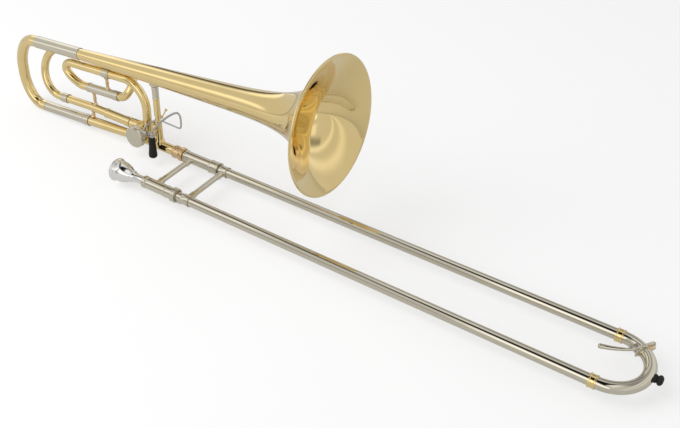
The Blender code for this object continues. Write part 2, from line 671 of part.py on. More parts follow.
def make_rear_f_tube(bell_frame, metal, sleeve_metal, ferrule_metal):
    low_end = Vector((VALVE_X - CASING_RADIUS - 2.5, 0, VALVE_H + PORT_OFFSET))
    sleeve_rear = Vector((-90, 0, F_REAR_H - 3.1))
    points = [(F_REAR_X + 10.5, 0, F_REAR_H), (-125, 0, F_REAR_H - 0.6), (-100, 0, F_REAR_H - 2.2),
              sleeve_rear + X * 4]
    bent_tube("f_rear_tube", bell_frame, points, F_REAR_RADIUS, F_WALL, metal)
    way = low_end - sleeve_rear
    length = way.length
    size = F_REAR_RADIUS + 0.9
    spigot = NECK_SMALL_RADIUS - 0.25
    bore = F_REAR_RADIUS - F_WALL
    profile = [(0, size + 0.6), (3, size + 0.6), (3.6, size), (length - 16, size),
               (length - 15.6, size + 0.7), (length - 6, size + 0.7), (length - 5.6, spigot),
               (length, spigot), (length, bore), (8, bore), (8, F_REAR_RADIUS + 0.4),
               (0, F_REAR_RADIUS + 0.4)]
    turned("f_rear_sleeve", bell_frame, sleeve_rear, way, profile, sleeve_metal, 16)
    pipe("f_rear_ferrule", bell_frame, (F_REAR_X + 7, 0, F_REAR_H), X, 15.5, F_REAR_RADIUS + 1.3,
         F_REAR_RADIUS + 0.35, ferrule_metal)


def make_big_f_bow(bell_frame, metal):
    """Rear bow of the F loop, and the straight tube that runs forward behind the bell stem."""
    middle = Vector((F_REAR_X, F_TOP_SIDE / 2, (F_REAR_H + F_TOP_H) / 2))
    up = Vector((0, F_TOP_SIDE / 2, (F_TOP_H - F_REAR_H) / 2))
    points = [Vector((F_REAR_X + 10, 0, F_REAR_H))]
    points += arc(middle, -X * up.length, up, -90, 90, 11)
    points.append(Vector((F_FRONT_X - GAP, F_TOP_SIDE, F_TOP_H)))
    bent_tube("f_big_bow", bell_frame, points, F_RADIUS, F_WALL, metal, F_SIDES)


def make_front_f_bend(bell_frame, metal):
    lead = 2.0
    radius = (F_TOP_H - F_LOW_H) / 2
    middle = (F_FRONT_X + lead, 0, F_LOW_H + radius)
    points = [Vector((F_FRONT_X, F_TOP_SIDE, F_TOP_H))]
    angles = spread(90, -90, 10)
    for angle, point in zip(angles, arc(middle, X * (radius - lead), Z * radius, 90, -90, 9)):
        share = min(max((angle + 52) / 92, 0.0), 1.0)
        points.append(point + Y * F_TOP_SIDE * share * share * (3 - 2 * share))
    points.append(Vector((F_FRONT_X - 6, 0, F_LOW_H)))
    bent_tube("f_front_bend", bell_frame, points, F_RADIUS, F_WALL, metal, F_SIDES)


def make_f_sleeves(bell_frame, metal):
    length = F_FRONT_X + 1 - F_LOW_MOUTH_X
    size = F_LOWER_SLEEVE_RADIUS
    grip = F_RADIUS + 0.4
    bore = F_LEG_RADIUS + 0.6
    lower = [(0, size + 0.75), (4, size + 0.75), (4.5, size), (length - 13, size),
             (length - 12.5, size + 0.65), (length, size + 0.65), (length, grip), (length - 12, grip),
             (length - 12, bore), (0, bore)]
    turned("f_lower_sleeve", bell_frame, (F_LOW_MOUTH_X, 0, F_LOW_H), X, lower, metal)
    pipe("f_upper_ferrule", bell_frame, (F_HIGH_MOUTH_X, 0, F_HIGH_H), X, 16, F_UPPER_FERRULE_RADIUS,
         F_SLIDE_RADIUS + GAP, metal)


def make_down_tube(bell_frame, metal):
    corner = Vector((DOWN_CORNER_X, 0, F_HIGH_H - DOWN_CORNER))
    points = [Vector((F_HIGH_MOUTH_X + 12, 0, F_HIGH_H))]
    points += arc(corner, X * DOWN_CORNER, Z * DOWN_CORNER, 90, DOWN_LEAN, 6)
    points.append(down_tube_end())
    bent_tube("f_down_tube", bell_frame, points, F_SLIDE_RADIUS, F_WALL, metal, F_SIDES)


def make_f_tuning_slide(bell_frame, metal, leg_metal):
    frame = pivot_frame("f_tuning_slide", bell_frame, (F_BOW_X, 0, (F_LOW_H + F_HIGH_H) / 2))
    rise = F_HIGH_H - F_LOW_H
    outline = [(17.5, 0), (9, 0.062), (0, 0.165), (-8, 0.298), (-14.5, 0.451), (-17.9, 0.61),
               (-17.5, 0.773), (-13.5, 0.91), (-7, 0.984), (0, 1)]
    points = [Vector((F_LOW_MOUTH_X - GAP, 0, F_LOW_H))]
    points += [Vector((F_BOW_X + ahead, 0, F_LOW_H + rise * share)) for ahead, share in outline]
    points.append(Vector((F_HIGH_MOUTH_X - GAP, 0, F_HIGH_H)))
    bent_tube("f_tuning_bow", frame, points, F_SLIDE_RADIUS, F_WALL, metal, F_SIDES)
    for name, mouth, height, length in (("f_lower_leg", F_LOW_MOUTH_X, F_LOW_H, 68),
                                        ("f_upper_leg", F_HIGH_MOUTH_X, F_HIGH_H, 42)):
        pipe(name, frame, (mouth - 8, 0, height), X, length, F_LEG_RADIUS, F_LEG_BORE, leg_metal)


def make_struts(bell_frame, metal):
    """Braces among the F tubes, each seated on the two tubes that it joins."""
    neck_ferrule = NECK_BIG_RADIUS + 1.3
    spans = [("f_slide_strut", (-79.8, 0, F_HIGH_H), (-79.8, 0, F_LOW_H), F_UPPER_FERRULE_RADIUS,
              F_LOWER_SLEEVE_RADIUS),
             ("f_wrap_strut", (-116, 0, F_LOW_H), (-116, 0, F_REAR_H - 1.1), F_LOWER_SLEEVE_RADIUS,
              F_REAR_RADIUS),
             ("gooseneck_strut", (-121, 0, F_REAR_H - 0.9), (-128.5, 0, 0), F_REAR_RADIUS, neck_ferrule)]
    for name, start, end, start_radius, end_radius in spans:
        piece = strut(name, bell_frame, start, end, start_radius, end_radius, STRUT_RADIUS,
                      STRUT_FOOT_RADIUS, metal)
        seat_on_tube(piece, bell_frame, start, start_radius)
        seat_on_tube(piece, bell_frame, end, end_radius)
    start = Vector((SADDLE_X, 0, BELL_HEIGHT))
    end = Vector((SADDLE_X, F_TOP_SIDE, F_TOP_H))
    way = end - start
    saddle = cylinder("bell_saddle", bell_frame, start, way, way.length, SADDLE_RADIUS, metal)
    seat_on_tube(saddle, bell_frame, start, UPPER_SLEEVE_RADIUS)
    seat_on_tube(saddle, bell_frame, end, F_RADIUS)


def seat_on_tube(piece, frame, place, tube_radius):
    """Cut a piece back to the tube that it meets, with the usual gap."""
    start = Vector(place) - X * 14
    guide = cylinder(f"{piece.name}_seat", frame, start, X, 28, tube_radius + GAP, None, SEAT_SIDES)
    cut(piece, guide)


def make_bell_brace(bell_frame, slide_frame, flange_metal, metal):
    x = BELL_BRACE_X
    drop = BELL_HEIGHT - BELL_BRACE_JOIN_H
    flange_end = bell_radius(x) + 1.6
    post = [(0, 0), (0, 8.6), (flange_end, 8.6), (flange_end + 2.4, 6.2), (40, 5.5), (drop, 5.5),
            (drop, 0)]
    piece = turned("bell_brace_post", bell_frame, (x, 0, BELL_HEIGHT), -Z, post, flange_metal, 16, False)
    seat = [(x - 20, 0), (x - 20, bell_radius(x - 20) + GAP), (x + 20, bell_radius(x + 20) + GAP),
            (x + 20, 0)]
    cut(piece, turned("bell_seat", bell_frame, (0, 0, BELL_HEIGHT), X, seat, None, 40, False))
    top = BELL_BRACE_JOIN_H - GAP
    socket = [(0, 0), (0, 4.2), (10, 4.2), (10.6, 6.0), (top - 9.5, 6.0), (top - 7, 8.0), (top, 8.0),
              (top, 0)]
    lower = turned("bell_brace_socket", bell_frame, (x, 0, top), -Z, socket, metal, 16, False)
    pin = [(x + 2, 2, top - 6), (x + 6.5, 6.5, top), (x + 9.5, 10, top + 7.6)]
    join(lower, bent_rod("brace_pin", bell_frame, pin, 1.1, None, 8))
    knob = [(0, 0), (0, 1.0), (1, 2.1), (2.6, 2.4), (4.2, 1.6), (4.8, 0)]
    knob_start = (x + 9.1, 9.5, top + 6.6)
    join(lower, turned("brace_pin_knob", bell_frame, knob_start, (3, 3.5, 7), knob, None, 12, False))
    cut(lower, cylinder("socket_seat", slide_frame, (x - 22, 0, 0), X, 50, RECEIVER_RADIUS + GAP,
                        None, SEAT_SIDES))


def make_inner_slide(slide_frame, metal, tube_metal):
    """The fixed half of the hand slide."""
    near = -SLIDE_SPACING
    bore = INNER_RADIUS - INNER_WALL
    seat = INNER_RADIUS + GAP
    slim = INNER_RADIUS - STOCKING_STEP
    start = BARREL_START + 0.7
    length = SLIDE_END - INNER_SHORT - start
    stocking = length - STOCKING_LENGTH
    wall = [(0, slim), (stocking, slim), (stocking + 1, INNER_RADIUS), (length, INNER_RADIUS),
            (length, bore), (0, bore)]
    for name, y in (("inner_tube_far", 0), ("inner_tube_near", near)):
        turned(name, slide_frame, (start, y, 0), X, wall, tube_metal, TUBE_SIDES)
    tenon_start = RECEIVER_END - 22.7
    tenon = RECEIVER_BORE - 0.4
    collar = RECEIVER_BORE + 1.2
    throat = RECEIVER_BORE + 0.6
    far = [(tenon_start, tenon), (RECEIVER_END + 0.3, tenon), (RECEIVER_END + 0.3, collar),
           (RECEIVER_END + 4.5, collar), (RECEIVER_END + 4.5, throat), (BARREL_START - 4.5, throat),
           (BARREL_START - 4.2, BARREL_RADIUS + 0.9), (BARREL_START - 2, BARREL_RADIUS + 0.9),
           (BARREL_START - 1.5, BARREL_RADIUS), (BARREL_MOUTH - 18, BARREL_RADIUS),
           (BARREL_MOUTH - 17.4, BARREL_RADIUS + 1.7), (BARREL_MOUTH, BARREL_RADIUS + 1.7),
           (BARREL_MOUTH, BARREL_BORE), (BARREL_START + 9, BARREL_BORE), (BARREL_START + 9, seat),
           (BARREL_START + 0.4, seat), (BARREL_START + 0.4, tenon - 0.8), (tenon_start, tenon - 0.8)]
    turned("cork_barrel_far", slide_frame, (0, 0, 0), X, far, metal, 16)
    ring_x = NEAR_BARREL_MOUTH - 24
    nearer = [(NEAR_BARREL_START, BARREL_RADIUS - 0.5), (NEAR_BARREL_START + 1.5, BARREL_RADIUS),
              (ring_x, BARREL_RADIUS), (ring_x + 0.6, BARREL_RADIUS + 0.5),
              (ring_x + 2.4, BARREL_RADIUS + 0.5), (ring_x + 2.4, BARREL_RADIUS),
              (NEAR_BARREL_MOUTH, BARREL_RADIUS), (NEAR_BARREL_MOUTH, BARREL_BORE),
              (NEAR_BARREL_START, BARREL_BORE)]
    turned("cork_barrel_near", slide_frame, (0, near, 0), X, nearer, metal, 16)
    lip_x = NEAR_BARREL_START - 8
    plug = BARREL_BORE - 0.35
    lip = [(lip_x, BARREL_RADIUS - 0.3), (lip_x + 1, BARREL_RADIUS + 0.5), (lip_x + 6, BARREL_RADIUS + 0.5),
           (lip_x + 7.7, plug + 0.4), (lip_x + 7.7, plug), (lip_x + 30, plug), (lip_x + 30, seat),
           (BARREL_START + 0.4, seat), (BARREL_START + 0.4, RECEIVER_BORE), (lip_x, RECEIVER_BORE)]
    turned("mouthpiece_receiver", slide_frame, (0, near, 0), X, lip, metal, 16)
    brace("inner_brace", slide_frame, INNER_BRACE_X, BARREL_RADIUS, metal)
    ring_start = NEAR_BARREL_MOUTH - 10.5
    frame = pivot_frame("slide_lock_turn", slide_frame, (ring_start + 4.5, near, 0))
    size = BARREL_RADIUS + 2.3
    ring = [(0, size - 1.2), (1, size), (8, size), (9, size - 0.6), (9, BARREL_RADIUS + GAP),
            (0, BARREL_RADIUS + GAP)]
    lock = turned("slide_lock_ring", frame, (ring_start, near, 0), X, ring, metal, 16)
    lug = [(0, 0), (0, 2.8), (1, 3.8), (7.5, 3.8), (9, 2.8), (9, 0)]
    lug_start = (ring_start + 4, near + 4, -size - 1.4)
    join(lock, turned("lock_lug", frame, lug_start, X, lug, None, 16, False))


def brace(name, frame, x, tube_radius, metal):
    """A crosswise brace between the two slide tubes, with a socket at each end."""
    length = SLIDE_SPACING
    socket = tube_radius + BRACE_SOCKET_LENGTH
    profile = [(0, 0), (0, BRACE_SOCKET_RADIUS), (socket, BRACE_SOCKET_RADIUS), (socket + 2, BRACE_RADIUS),
               (length - socket - 2, BRACE_RADIUS), (length - socket, BRACE_SOCKET_RADIUS),
               (length, BRACE_SOCKET_RADIUS), (length, 0)]
    piece = turned(name, frame, (x, 0, 0), -Y, profile, metal, 16, False)
    for index, y in enumerate((0, -SLIDE_SPACING)):
        cut(piece, cylinder(f"{name}_seat_{index}", frame, (x - 12, y, 0), X, 24, tube_radius + GAP,
                            None, SEAT_SIDES))


def make_mouthpiece(slide_frame, metal):
    frame = pivot_frame("mouthpiece_pull", slide_frame, (MOUTHPIECE_RIM_X, -SLIDE_SPACING, 0))
    rim = MOUTHPIECE_RADIUS
    end = MOUTHPIECE_END_X - MOUTHPIECE_RIM_X
    shank = RECEIVER_BORE - 0.4
    outside = [(0, rim - 4.4), (0, rim - 2), (1.4, rim - 0.6), (3.4, rim), (6.2, rim - 0.7),
               (8.6, rim - 2.2), (16, rim - 2.6), (24, rim - 4.2), (31, 11.8), (36, 9.0), (41, 7.8),
               (47, shank + 0.4),
               (end - 15.5, shank), (end, shank - 0.35)]
    inside = [(end, 5.2), (45, 3.9), (31, 3.3), (26, 4.2), (22, 7.2), (15, rim - 8.4), (7, rim - 6.7),
              (1.6, rim - 5.9)]
    turned("mouthpiece", frame, (MOUTHPIECE_RIM_X, -SLIDE_SPACING, 0), X, outside + inside, metal, 20)


def end_bow_points():
    half = SLIDE_SPACING / 2
    centre = (SLIDE_END, -half, 0)
    points = [Vector((SLIDE_END - BOW_LEAD, 0, 0))]
    points += arc(centre, X * half, Y * half, 90, -90, 14)
    points.append(Vector((SLIDE_END - BOW_LEAD, -SLIDE_SPACING, 0)))
    return points


def make_outer_slide(slide_frame, metal, brass_metal, black):
    """The moving half of the hand slide."""
    half = SLIDE_SPACING / 2
    frame = pivot_frame("hand_slide", slide_frame, (SLIDE_END, -half, 0))
    tube_length = SLIDE_END - BOW_LEAD - GAP - OUTER_START
    bore = OUTER_RADIUS + GAP
    collar = [(COLLAR_START, COLLAR_RADIUS - 0.2), (COLLAR_START + 1, COLLAR_RADIUS),
              (COLLAR_END - 2, COLLAR_RADIUS), (COLLAR_END - 1.5, COLLAR_RADIUS + 0.6),
              (COLLAR_END, COLLAR_RADIUS + 0.6), (COLLAR_END, bore), (COLLAR_START, bore)]
    size = END_BOW_RADIUS + 1
    grip = END_BOW_RADIUS + 0.4
    ferrule = [(0, size + 0.4), (1.5, size + 0.4), (2, size), (7.5, size), (8, size + 0.4),
               (9.5, size + 0.4), (9.5, grip), (0, grip)]
    for name, y in (("far", 0), ("near", -SLIDE_SPACING)):
        pipe(f"outer_tube_{name}", frame, (OUTER_START, y, 0), X, tube_length, OUTER_RADIUS,
             OUTER_RADIUS - OUTER_WALL, metal, TUBE_SIDES)
        turned(f"slide_collar_{name}", frame, (0, y, 0), X, collar, brass_metal, 16)
        turned(f"slide_ferrule_{name}", frame, (SLIDE_END - 9.5, y, 0), X, ferrule, brass_metal, 16)
    brace("outer_brace", frame, OUTER_BRACE_X, COLLAR_RADIUS, metal)
    bent_tube("slide_bow", frame, end_bow_points(), END_BOW_RADIUS, 0.7, metal, 16)
    apex = (SLIDE_END + half, -half, 0)
    bumper = [(0, 0), (0, 5.6), (9.2, 5.6), (10, 4.6), (10.8, 4.6), (11.8, 6.3), (13.2, 6.7),
              (15.4, 6.4), (16.8, 5.0), (17.6, 2.8), (17.6, 0)]
    piece = turned("slide_bumper", frame, apex, X, bumper, black, 20, False)
    cut(piece, bow_seat("bumper_seat", frame))
    make_water_key(frame, metal, brass_metal)


def bow_seat(name, frame):
    return bent_rod(name, frame, end_bow_points(), END_BOW_RADIUS + GAP, None, 16)


def make_water_key(frame, metal, brass_metal):
    """Drain nipple outside the bow, and the sprung key that pivots on a saddle inside it."""
    angle = math.radians(KEY_ANGLE)
    out = Vector((math.cos(angle), math.sin(angle), 0))
    along = Vector((-math.sin(angle), math.cos(angle), 0))
    half = SLIDE_SPACING / 2
    centre = Vector((SLIDE_END, -half, 0))
    end = NIPPLE_HEIGHT
    nipple = [(0, 0), (0, 5.0), (end - 3.5, 5.0), (end - 2.5, 4.2), (end, 4.2), (end, 0)]
    piece = turned("drain_nipple", frame, centre + out * half, out, nipple, brass_metal, 16, False)
    cut(piece, bow_seat("nipple_seat", frame))
    cut(piece, cylinder("drain_hole", frame, centre + out * half, out, 20, 1.6, None, 8))
    pivot = centre + out * (half - KEY_INSET) + Z * KEY_PIVOT_Z
    base = pivot + out * 6 - Z * (KEY_PIVOT_Z - 3.5)
    saddle = block("water_key_saddle", frame, base, (out, along, Z), (8, 15, 7), metal)
    for index, shift in enumerate((-6.4, 6.4)):
        post = pivot + along * shift - Z * 2.7 + out * 1.2
        join(saddle, block(f"saddle_post_{index}", frame, post, (out, along, Z), (5.6, 2.2, 9.8)))
    join(saddle, cylinder("saddle_pin", frame, pivot - along * 8.4, along, 16.8, 1.0, None, 12))
    cut(saddle, bow_seat("saddle_seat", frame))
    make_spring("water_key_spring", frame, pivot + along * 1.0, along, 1.75, 0.3, 3, 1.05, metal)
    key_frame = pivot_frame("water_key_turn", frame, pivot)
    key = cylinder("water_key", key_frame, pivot - along * 4.9, along, 5.2, 2.5, metal)
    middle = pivot - along * 2.3
    reach = KEY_INSET + NIPPLE_HEIGHT + 4.1
    drop = middle + out * reach + along * 2.3
    arm = [middle + out * 1, middle + out * 8 + Z * 2.2, middle + out * 15 + Z * 2.6,
           middle + out * (reach - 7.6) + Z * 1.6 + along * 1.2,
           middle + out * (reach - 1.6) - Z * 1 + along * 2.3, drop - Z * 5, drop - Z * KEY_PIVOT_Z]
    join(key, bent_rod("key_arm", key_frame, arm, 1.3, None, 8))
    pad = [(0, 0), (0, 3.6), (3.2, 3.6), (3.2, 0)]
    pad_start = centre + out * (half + NIPPLE_HEIGHT + GAP)
    join(key, turned("key_pad", key_frame, pad_start, out, pad, None, 16, False))
    lever = [middle - out * inwards + Z * rise + along * aside for inwards, rise, aside in
             ((1, 0, 0), (9, 0.2, 3), (18, -1.2, 9), (27, -2.8, 16.5), (36, -3.4, 24))]
    join(key, bent_rod("key_lever", key_frame, lever, [1.6, 2.0, 2.4, 3.0, 3.4], None, 8))
    cut(key, cylinder("key_bore", key_frame, pivot - along * 9, along, 18, 1.3, None, 12))


def drop_to_floor(root):
    """Move the whole trombone so that its origin is under the middle of its box."""
    bpy.context.view_layer.update()
    graph = bpy.context.evaluated_depsgraph_get()
    corners = []
    for item in bpy.data.objects:
        if item.type == "MESH" and not item.hide_render:
            shape = item.evaluated_get(graph)
            corners += [item.matrix_world @ vertex.co for vertex in shape.data.vertices]
    low = Vector([min(corner[axis] for corner in corners) for axis in range(3)])
    high = Vector([max(corner[axis] for corner in corners) for axis in range(3)])
    root.location = (-(low.x + high.x) / 2, -(low.y + high.y) / 2, -low.z)
    bpy.context.view_layer.update()
    print("size in m:", [round(value, 5) for value in high - low])
    for item in bpy.data.objects:
        if item.type == "EMPTY":
            place = [round(value, 6) for value in item.matrix_world.translation]
            forward = [round(value, 6) for value in item.matrix_world.col[0].xyz]
            across = [round(value, 6) for value in item.matrix_world.col[1].xyz]
            print(item.name, place, "x", forward, "y", across)


def main():
    clear_scene()
    root = new_frame("trombone", None)
    slide_frame = new_frame("slide_frame", root)
    bell_frame = new_frame("bell_frame", root)
    lean = Matrix.Rotation(math.radians(-BELL_LEAN), 4, "X")
    tilt = Matrix.Rotation(math.radians(-BELL_TILT), 4, "Y")
    bell_frame.rotation_mode = "QUATERNION"
    bell_frame.rotation_quaternion = (lean @ tilt).to_quaternion()
    yellow, silver, rose, black, bright = brass(), nickel(), copper(), rubber(), steel()
    make_bell(bell_frame, yellow)
    make_tuning_sleeves(bell_frame, silver)
    make_main_tuning_slide(bell_frame, yellow, silver)
    make_gooseneck(bell_frame, yellow)
    make_receiver(slide_frame, yellow)
    make_lock_nut(slide_frame, yellow)
    make_casing(bell_frame, silver)
    make_rotor(bell_frame, silver, bright)
    make_valve_trim(bell_frame, silver, black)
    make_lever_bracket(bell_frame, slide_frame, bright)
    make_thumb_lever(bell_frame, bright, black)
    make_link_rod(bell_frame, bright)
    spring_start = (BRACKET_X + BRACKET_LENGTH + 0.8, LEVER_SIDE, LEVER_H)
    make_spring("lever_spring", bell_frame, spring_start, X, 2.3, 0.35, 4, 1.3, bright)
    make_rear_f_tube(bell_frame, yellow, yellow, silver)
    make_big_f_bow(bell_frame, yellow)
    make_front_f_bend(bell_frame, yellow)
    make_f_sleeves(bell_frame, silver)
    make_down_tube(bell_frame, yellow)
    make_f_tuning_slide(bell_frame, yellow, silver)
    make_struts(bell_frame, silver)
    make_bell_brace(bell_frame, slide_frame, silver, yellow)
    make_inner_slide(slide_frame, silver, silver)
    make_mouthpiece(slide_frame, silver)
    make_outer_slide(slide_frame, silver, rose, black)
    drop_to_floor(root)


main()
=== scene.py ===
# %% [markdown]
# # A tenor trombone with an F attachment
# A trombone is long thin tube, drawn, bent and soldered, with one wide bell at its end. Its looks come
# from metal that mirrors the room, so this lesson makes three things: true round pieces, polished
# finishes, and a plain studio worth mirroring.
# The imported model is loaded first. It is the frame that every piece is built around.

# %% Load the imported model
import math

import bpy
from mathutils import Matrix, Vector


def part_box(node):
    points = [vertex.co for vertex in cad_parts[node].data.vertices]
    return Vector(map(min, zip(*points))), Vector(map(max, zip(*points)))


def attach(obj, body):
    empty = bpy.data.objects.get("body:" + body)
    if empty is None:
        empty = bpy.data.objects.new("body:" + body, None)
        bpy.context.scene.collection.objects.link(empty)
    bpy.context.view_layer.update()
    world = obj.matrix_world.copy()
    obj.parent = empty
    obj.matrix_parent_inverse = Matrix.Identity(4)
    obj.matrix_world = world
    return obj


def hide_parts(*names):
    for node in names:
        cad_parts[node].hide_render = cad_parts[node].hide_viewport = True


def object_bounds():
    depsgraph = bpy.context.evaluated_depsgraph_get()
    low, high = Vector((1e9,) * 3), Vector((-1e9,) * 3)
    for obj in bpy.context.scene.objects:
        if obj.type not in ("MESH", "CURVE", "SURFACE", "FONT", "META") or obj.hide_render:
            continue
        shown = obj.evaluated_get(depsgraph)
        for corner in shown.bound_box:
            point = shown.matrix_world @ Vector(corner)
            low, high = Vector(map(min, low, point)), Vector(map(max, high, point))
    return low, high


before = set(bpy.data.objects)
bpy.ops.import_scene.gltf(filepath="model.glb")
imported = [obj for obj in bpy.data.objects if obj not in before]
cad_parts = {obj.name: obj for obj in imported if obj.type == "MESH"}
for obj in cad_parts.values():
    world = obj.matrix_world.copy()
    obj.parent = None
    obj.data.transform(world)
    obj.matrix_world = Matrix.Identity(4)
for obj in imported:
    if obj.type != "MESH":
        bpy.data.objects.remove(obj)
cad_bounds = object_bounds()
MM = 0.001
X, Y, Z = Vector((1, 0, 0)), Vector((0, 1, 0)), Vector((0, 0, 1))

# %% [markdown]
# The hand slide lies level. The bell section is soldered to a valve in front of it, and on the real
# instrument it tilts up a little and leans away from the slide. So two places are enough: one for all
# that lines up with the slide, one for all that lines up with the bell. Pieces are written in
# millimetres in one of the two, which keeps their numbers as short as on a drawing.

# %% The two places that pieces are written in
tube_low, tube_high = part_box("outer_tube_far")
tube_middle = (tube_low + tube_high) / 2
SLIDE = Matrix.Translation((tube_low.x - 146 * MM, tube_middle.y, tube_middle.z))
LEAN = Matrix.Rotation(math.radians(-5.0), 4, "X")
TILT = Matrix.Rotation(math.radians(-3.7), 4, "Y")
BELL = SLIDE @ LEAN @ TILT
print("slide starts at", [round(value, 4) for value in SLIDE.translation])

# %% [markdown]
# Operators act on whatever is selected, and the loaded model is selected after its import. So every
# step starts from nothing selected. A finished piece keeps its place in its mesh, and its object stays
# at the origin, so that a pattern on the object's coordinates stays where it is when the piece moves.

# %% Small helpers for selecting, placing and combining
def rest():
    """Leave edit mode and select nothing."""
    if bpy.context.object and bpy.context.object.mode != "OBJECT":
        bpy.ops.object.mode_set(mode="OBJECT")
    bpy.ops.object.select_all(action="DESELECT")


def pick(piece):
    rest()
    piece.select_set(True)
    bpy.context.view_layer.objects.active = piece


def lay(piece, place):
    """Put a piece at a place and write that place into its mesh."""
    pick(piece)
    piece.matrix_world = place
    bpy.ops.object.transform_apply(location=True, rotation=True, scale=True)


def combine(piece, other, operation):
    """Add another solid to a piece, or cut it away, and use the other up."""
    step = piece.modifiers.new("combine", "BOOLEAN")
    step.operation = operation
    step.object = other
    step.solver = "EXACT"
    pick(piece)
    bpy.ops.object.modifier_apply(modifier=step.name)
    bpy.data.objects.remove(other)


def fuse(piece, *others):
    for other in others:
        combine(piece, other, "UNION")
    return piece


def cut(piece, *others):
    for other in others:
        combine(piece, other, "DIFFERENCE")
    return piece


# %% [markdown]
# Most of a trombone comes off a lathe or a mandrel, so most pieces here are a profile that is spun. The
# profile is drawn as a turner would cut it, in pairs of distance and radius, by extruding one vertex
# from corner to corner. No real edge is perfectly sharp: polishing rounds it, and the round edge is what
# catches the light. A bevel modifier could do that too, but on long thin tubes it bends the shading of
# the long faces, so the corners are rounded in the profile, with one more point just past each corner
# that keeps the long faces straight.

# %% Round the corners of a profile
def eased(profile, size, closed):
    """Replace each corner by a small curve with a supporting point on both sides."""
    corners = [Vector(corner) for corner in profile]
    result = []
    for index, corner in enumerate(corners):
        back = corners[index - 1] - corner
        on = corners[(index + 1) % len(corners)] - corner
        end = not closed and index in (0, len(corners) - 1)
        if end or math.pi - back.angle(on) < math.radians(14):
            result.append(corner)
            continue
        reach = min(size, back.length * 0.42, on.length * 0.42)
        first, last = corner + back.normalized() * reach, corner + on.normalized() * reach
        if back.length > 3 * reach:
            result.append(first + back.normalized() * reach * 0.5)
        for share in (0, 0.33, 0.67, 1):
            result.append(first * (1 - share) ** 2 + corner * 2 * share * (1 - share) + last * share ** 2)
        if on.length > 3 * reach:
            result.append(last + on.normalized() * reach * 0.5)
    return result


# %% [markdown]
# The spin starts from a tiny plane merged to one vertex. After a full turn the last copy lies on the
# first, so doubles are merged, which also closes the points on the axis, and the faces are turned
# outwards again, because a spin may leave them inside out.

# %% Turn a piece on the lathe
def turned(name, place, start, way, profile, sides=72, closed=True, ease=0.25):
    """Spin a profile of (distance, radius) pairs in mm about the line from start along way."""
    outline = eased(profile, ease, closed)
    if closed:
        outline.append(outline[0])
    points = [Vector((radius, 0, distance)) * MM for distance, radius in outline]
    rest()
    bpy.ops.mesh.primitive_plane_add(size=MM)
    piece = bpy.context.object
    piece.name = name
    bpy.ops.object.mode_set(mode="EDIT")
    bpy.ops.mesh.select_all(action="SELECT")
    bpy.ops.mesh.merge(type="CENTER")
    bpy.ops.transform.translate(value=points[0])
    for before, after in zip(points, points[1:]):
        bpy.ops.mesh.extrude_region_move(TRANSFORM_OT_translate={"value": after - before})
    bpy.ops.mesh.select_all(action="SELECT")
    bpy.ops.mesh.spin(steps=sides, angle=math.tau, center=(0, 0, 0), axis=(0, 0, 1))
    bpy.ops.mesh.select_all(action="SELECT")
    bpy.ops.mesh.remove_doubles(threshold=1e-6)
    bpy.ops.mesh.normals_make_consistent(inside=False)
    turn = Vector(way).to_track_quat("Z", "Y").to_matrix().to_4x4()
    lay(piece, place @ Matrix.Translation(Vector(start) * MM) @ turn)
    return piece


# %% [markdown]
# Bent tubes are filled with pitch or ice on the bench and pulled round a form, so they stay round. Here
# a circle is extruded from point to point along the tube's middle line, turned to face the new
# direction each time, and scaled where the tube widens. A straight run gets one more ring near each of
# its ends, so the bend's shading doesn't leak into it. A curve with a bevel would be quicker, but its
# rings can't be scaled and kept so easily, and a mesh is what the export needs.

# %% Pull a tube or a rod along a path
def arc(centre, across, up, start, end, steps):
    """Points of an arc: centre + across * cos + up * sin, with angles in degrees."""
    angles = [math.radians(start + (end - start) * step / steps) for step in range(steps + 1)]
    return [Vector(centre) + Vector(across) * math.cos(a) + Vector(up) * math.sin(a) for a in angles]


def held_straight(path, sizes):
    """Add a point near both ends of every long run."""
    new_path, new_sizes = [path[0]], [sizes[0]]
    for (a, b), (p, q) in zip(zip(path, path[1:]), zip(sizes, sizes[1:])):
        if (b - a).length > 5:
            for share in (0.6 / (b - a).length, 1 - 0.6 / (b - a).length):
                new_path.append(a.lerp(b, share))
                new_sizes.append(p + (q - p) * share)
        new_path.append(b)
        new_sizes.append(q)
    return new_path, new_sizes


def turn_ring(old, new, centre):
    """Turn the selected ring about its centre, from facing old to facing new."""
    angle = old.angle(new)
    if angle < 1e-5:
        return
    axis = old.cross(new).normalized()
    side = axis.orthogonal().normalized()
    axes = Matrix((side, axis.cross(side), axis)).transposed()
    bpy.ops.transform.rotate(value=angle, orient_axis="Z", orient_type="GLOBAL", orient_matrix=axes,
                             orient_matrix_type="GLOBAL", constraint_axis=(False, False, True),
                             center_override=centre)


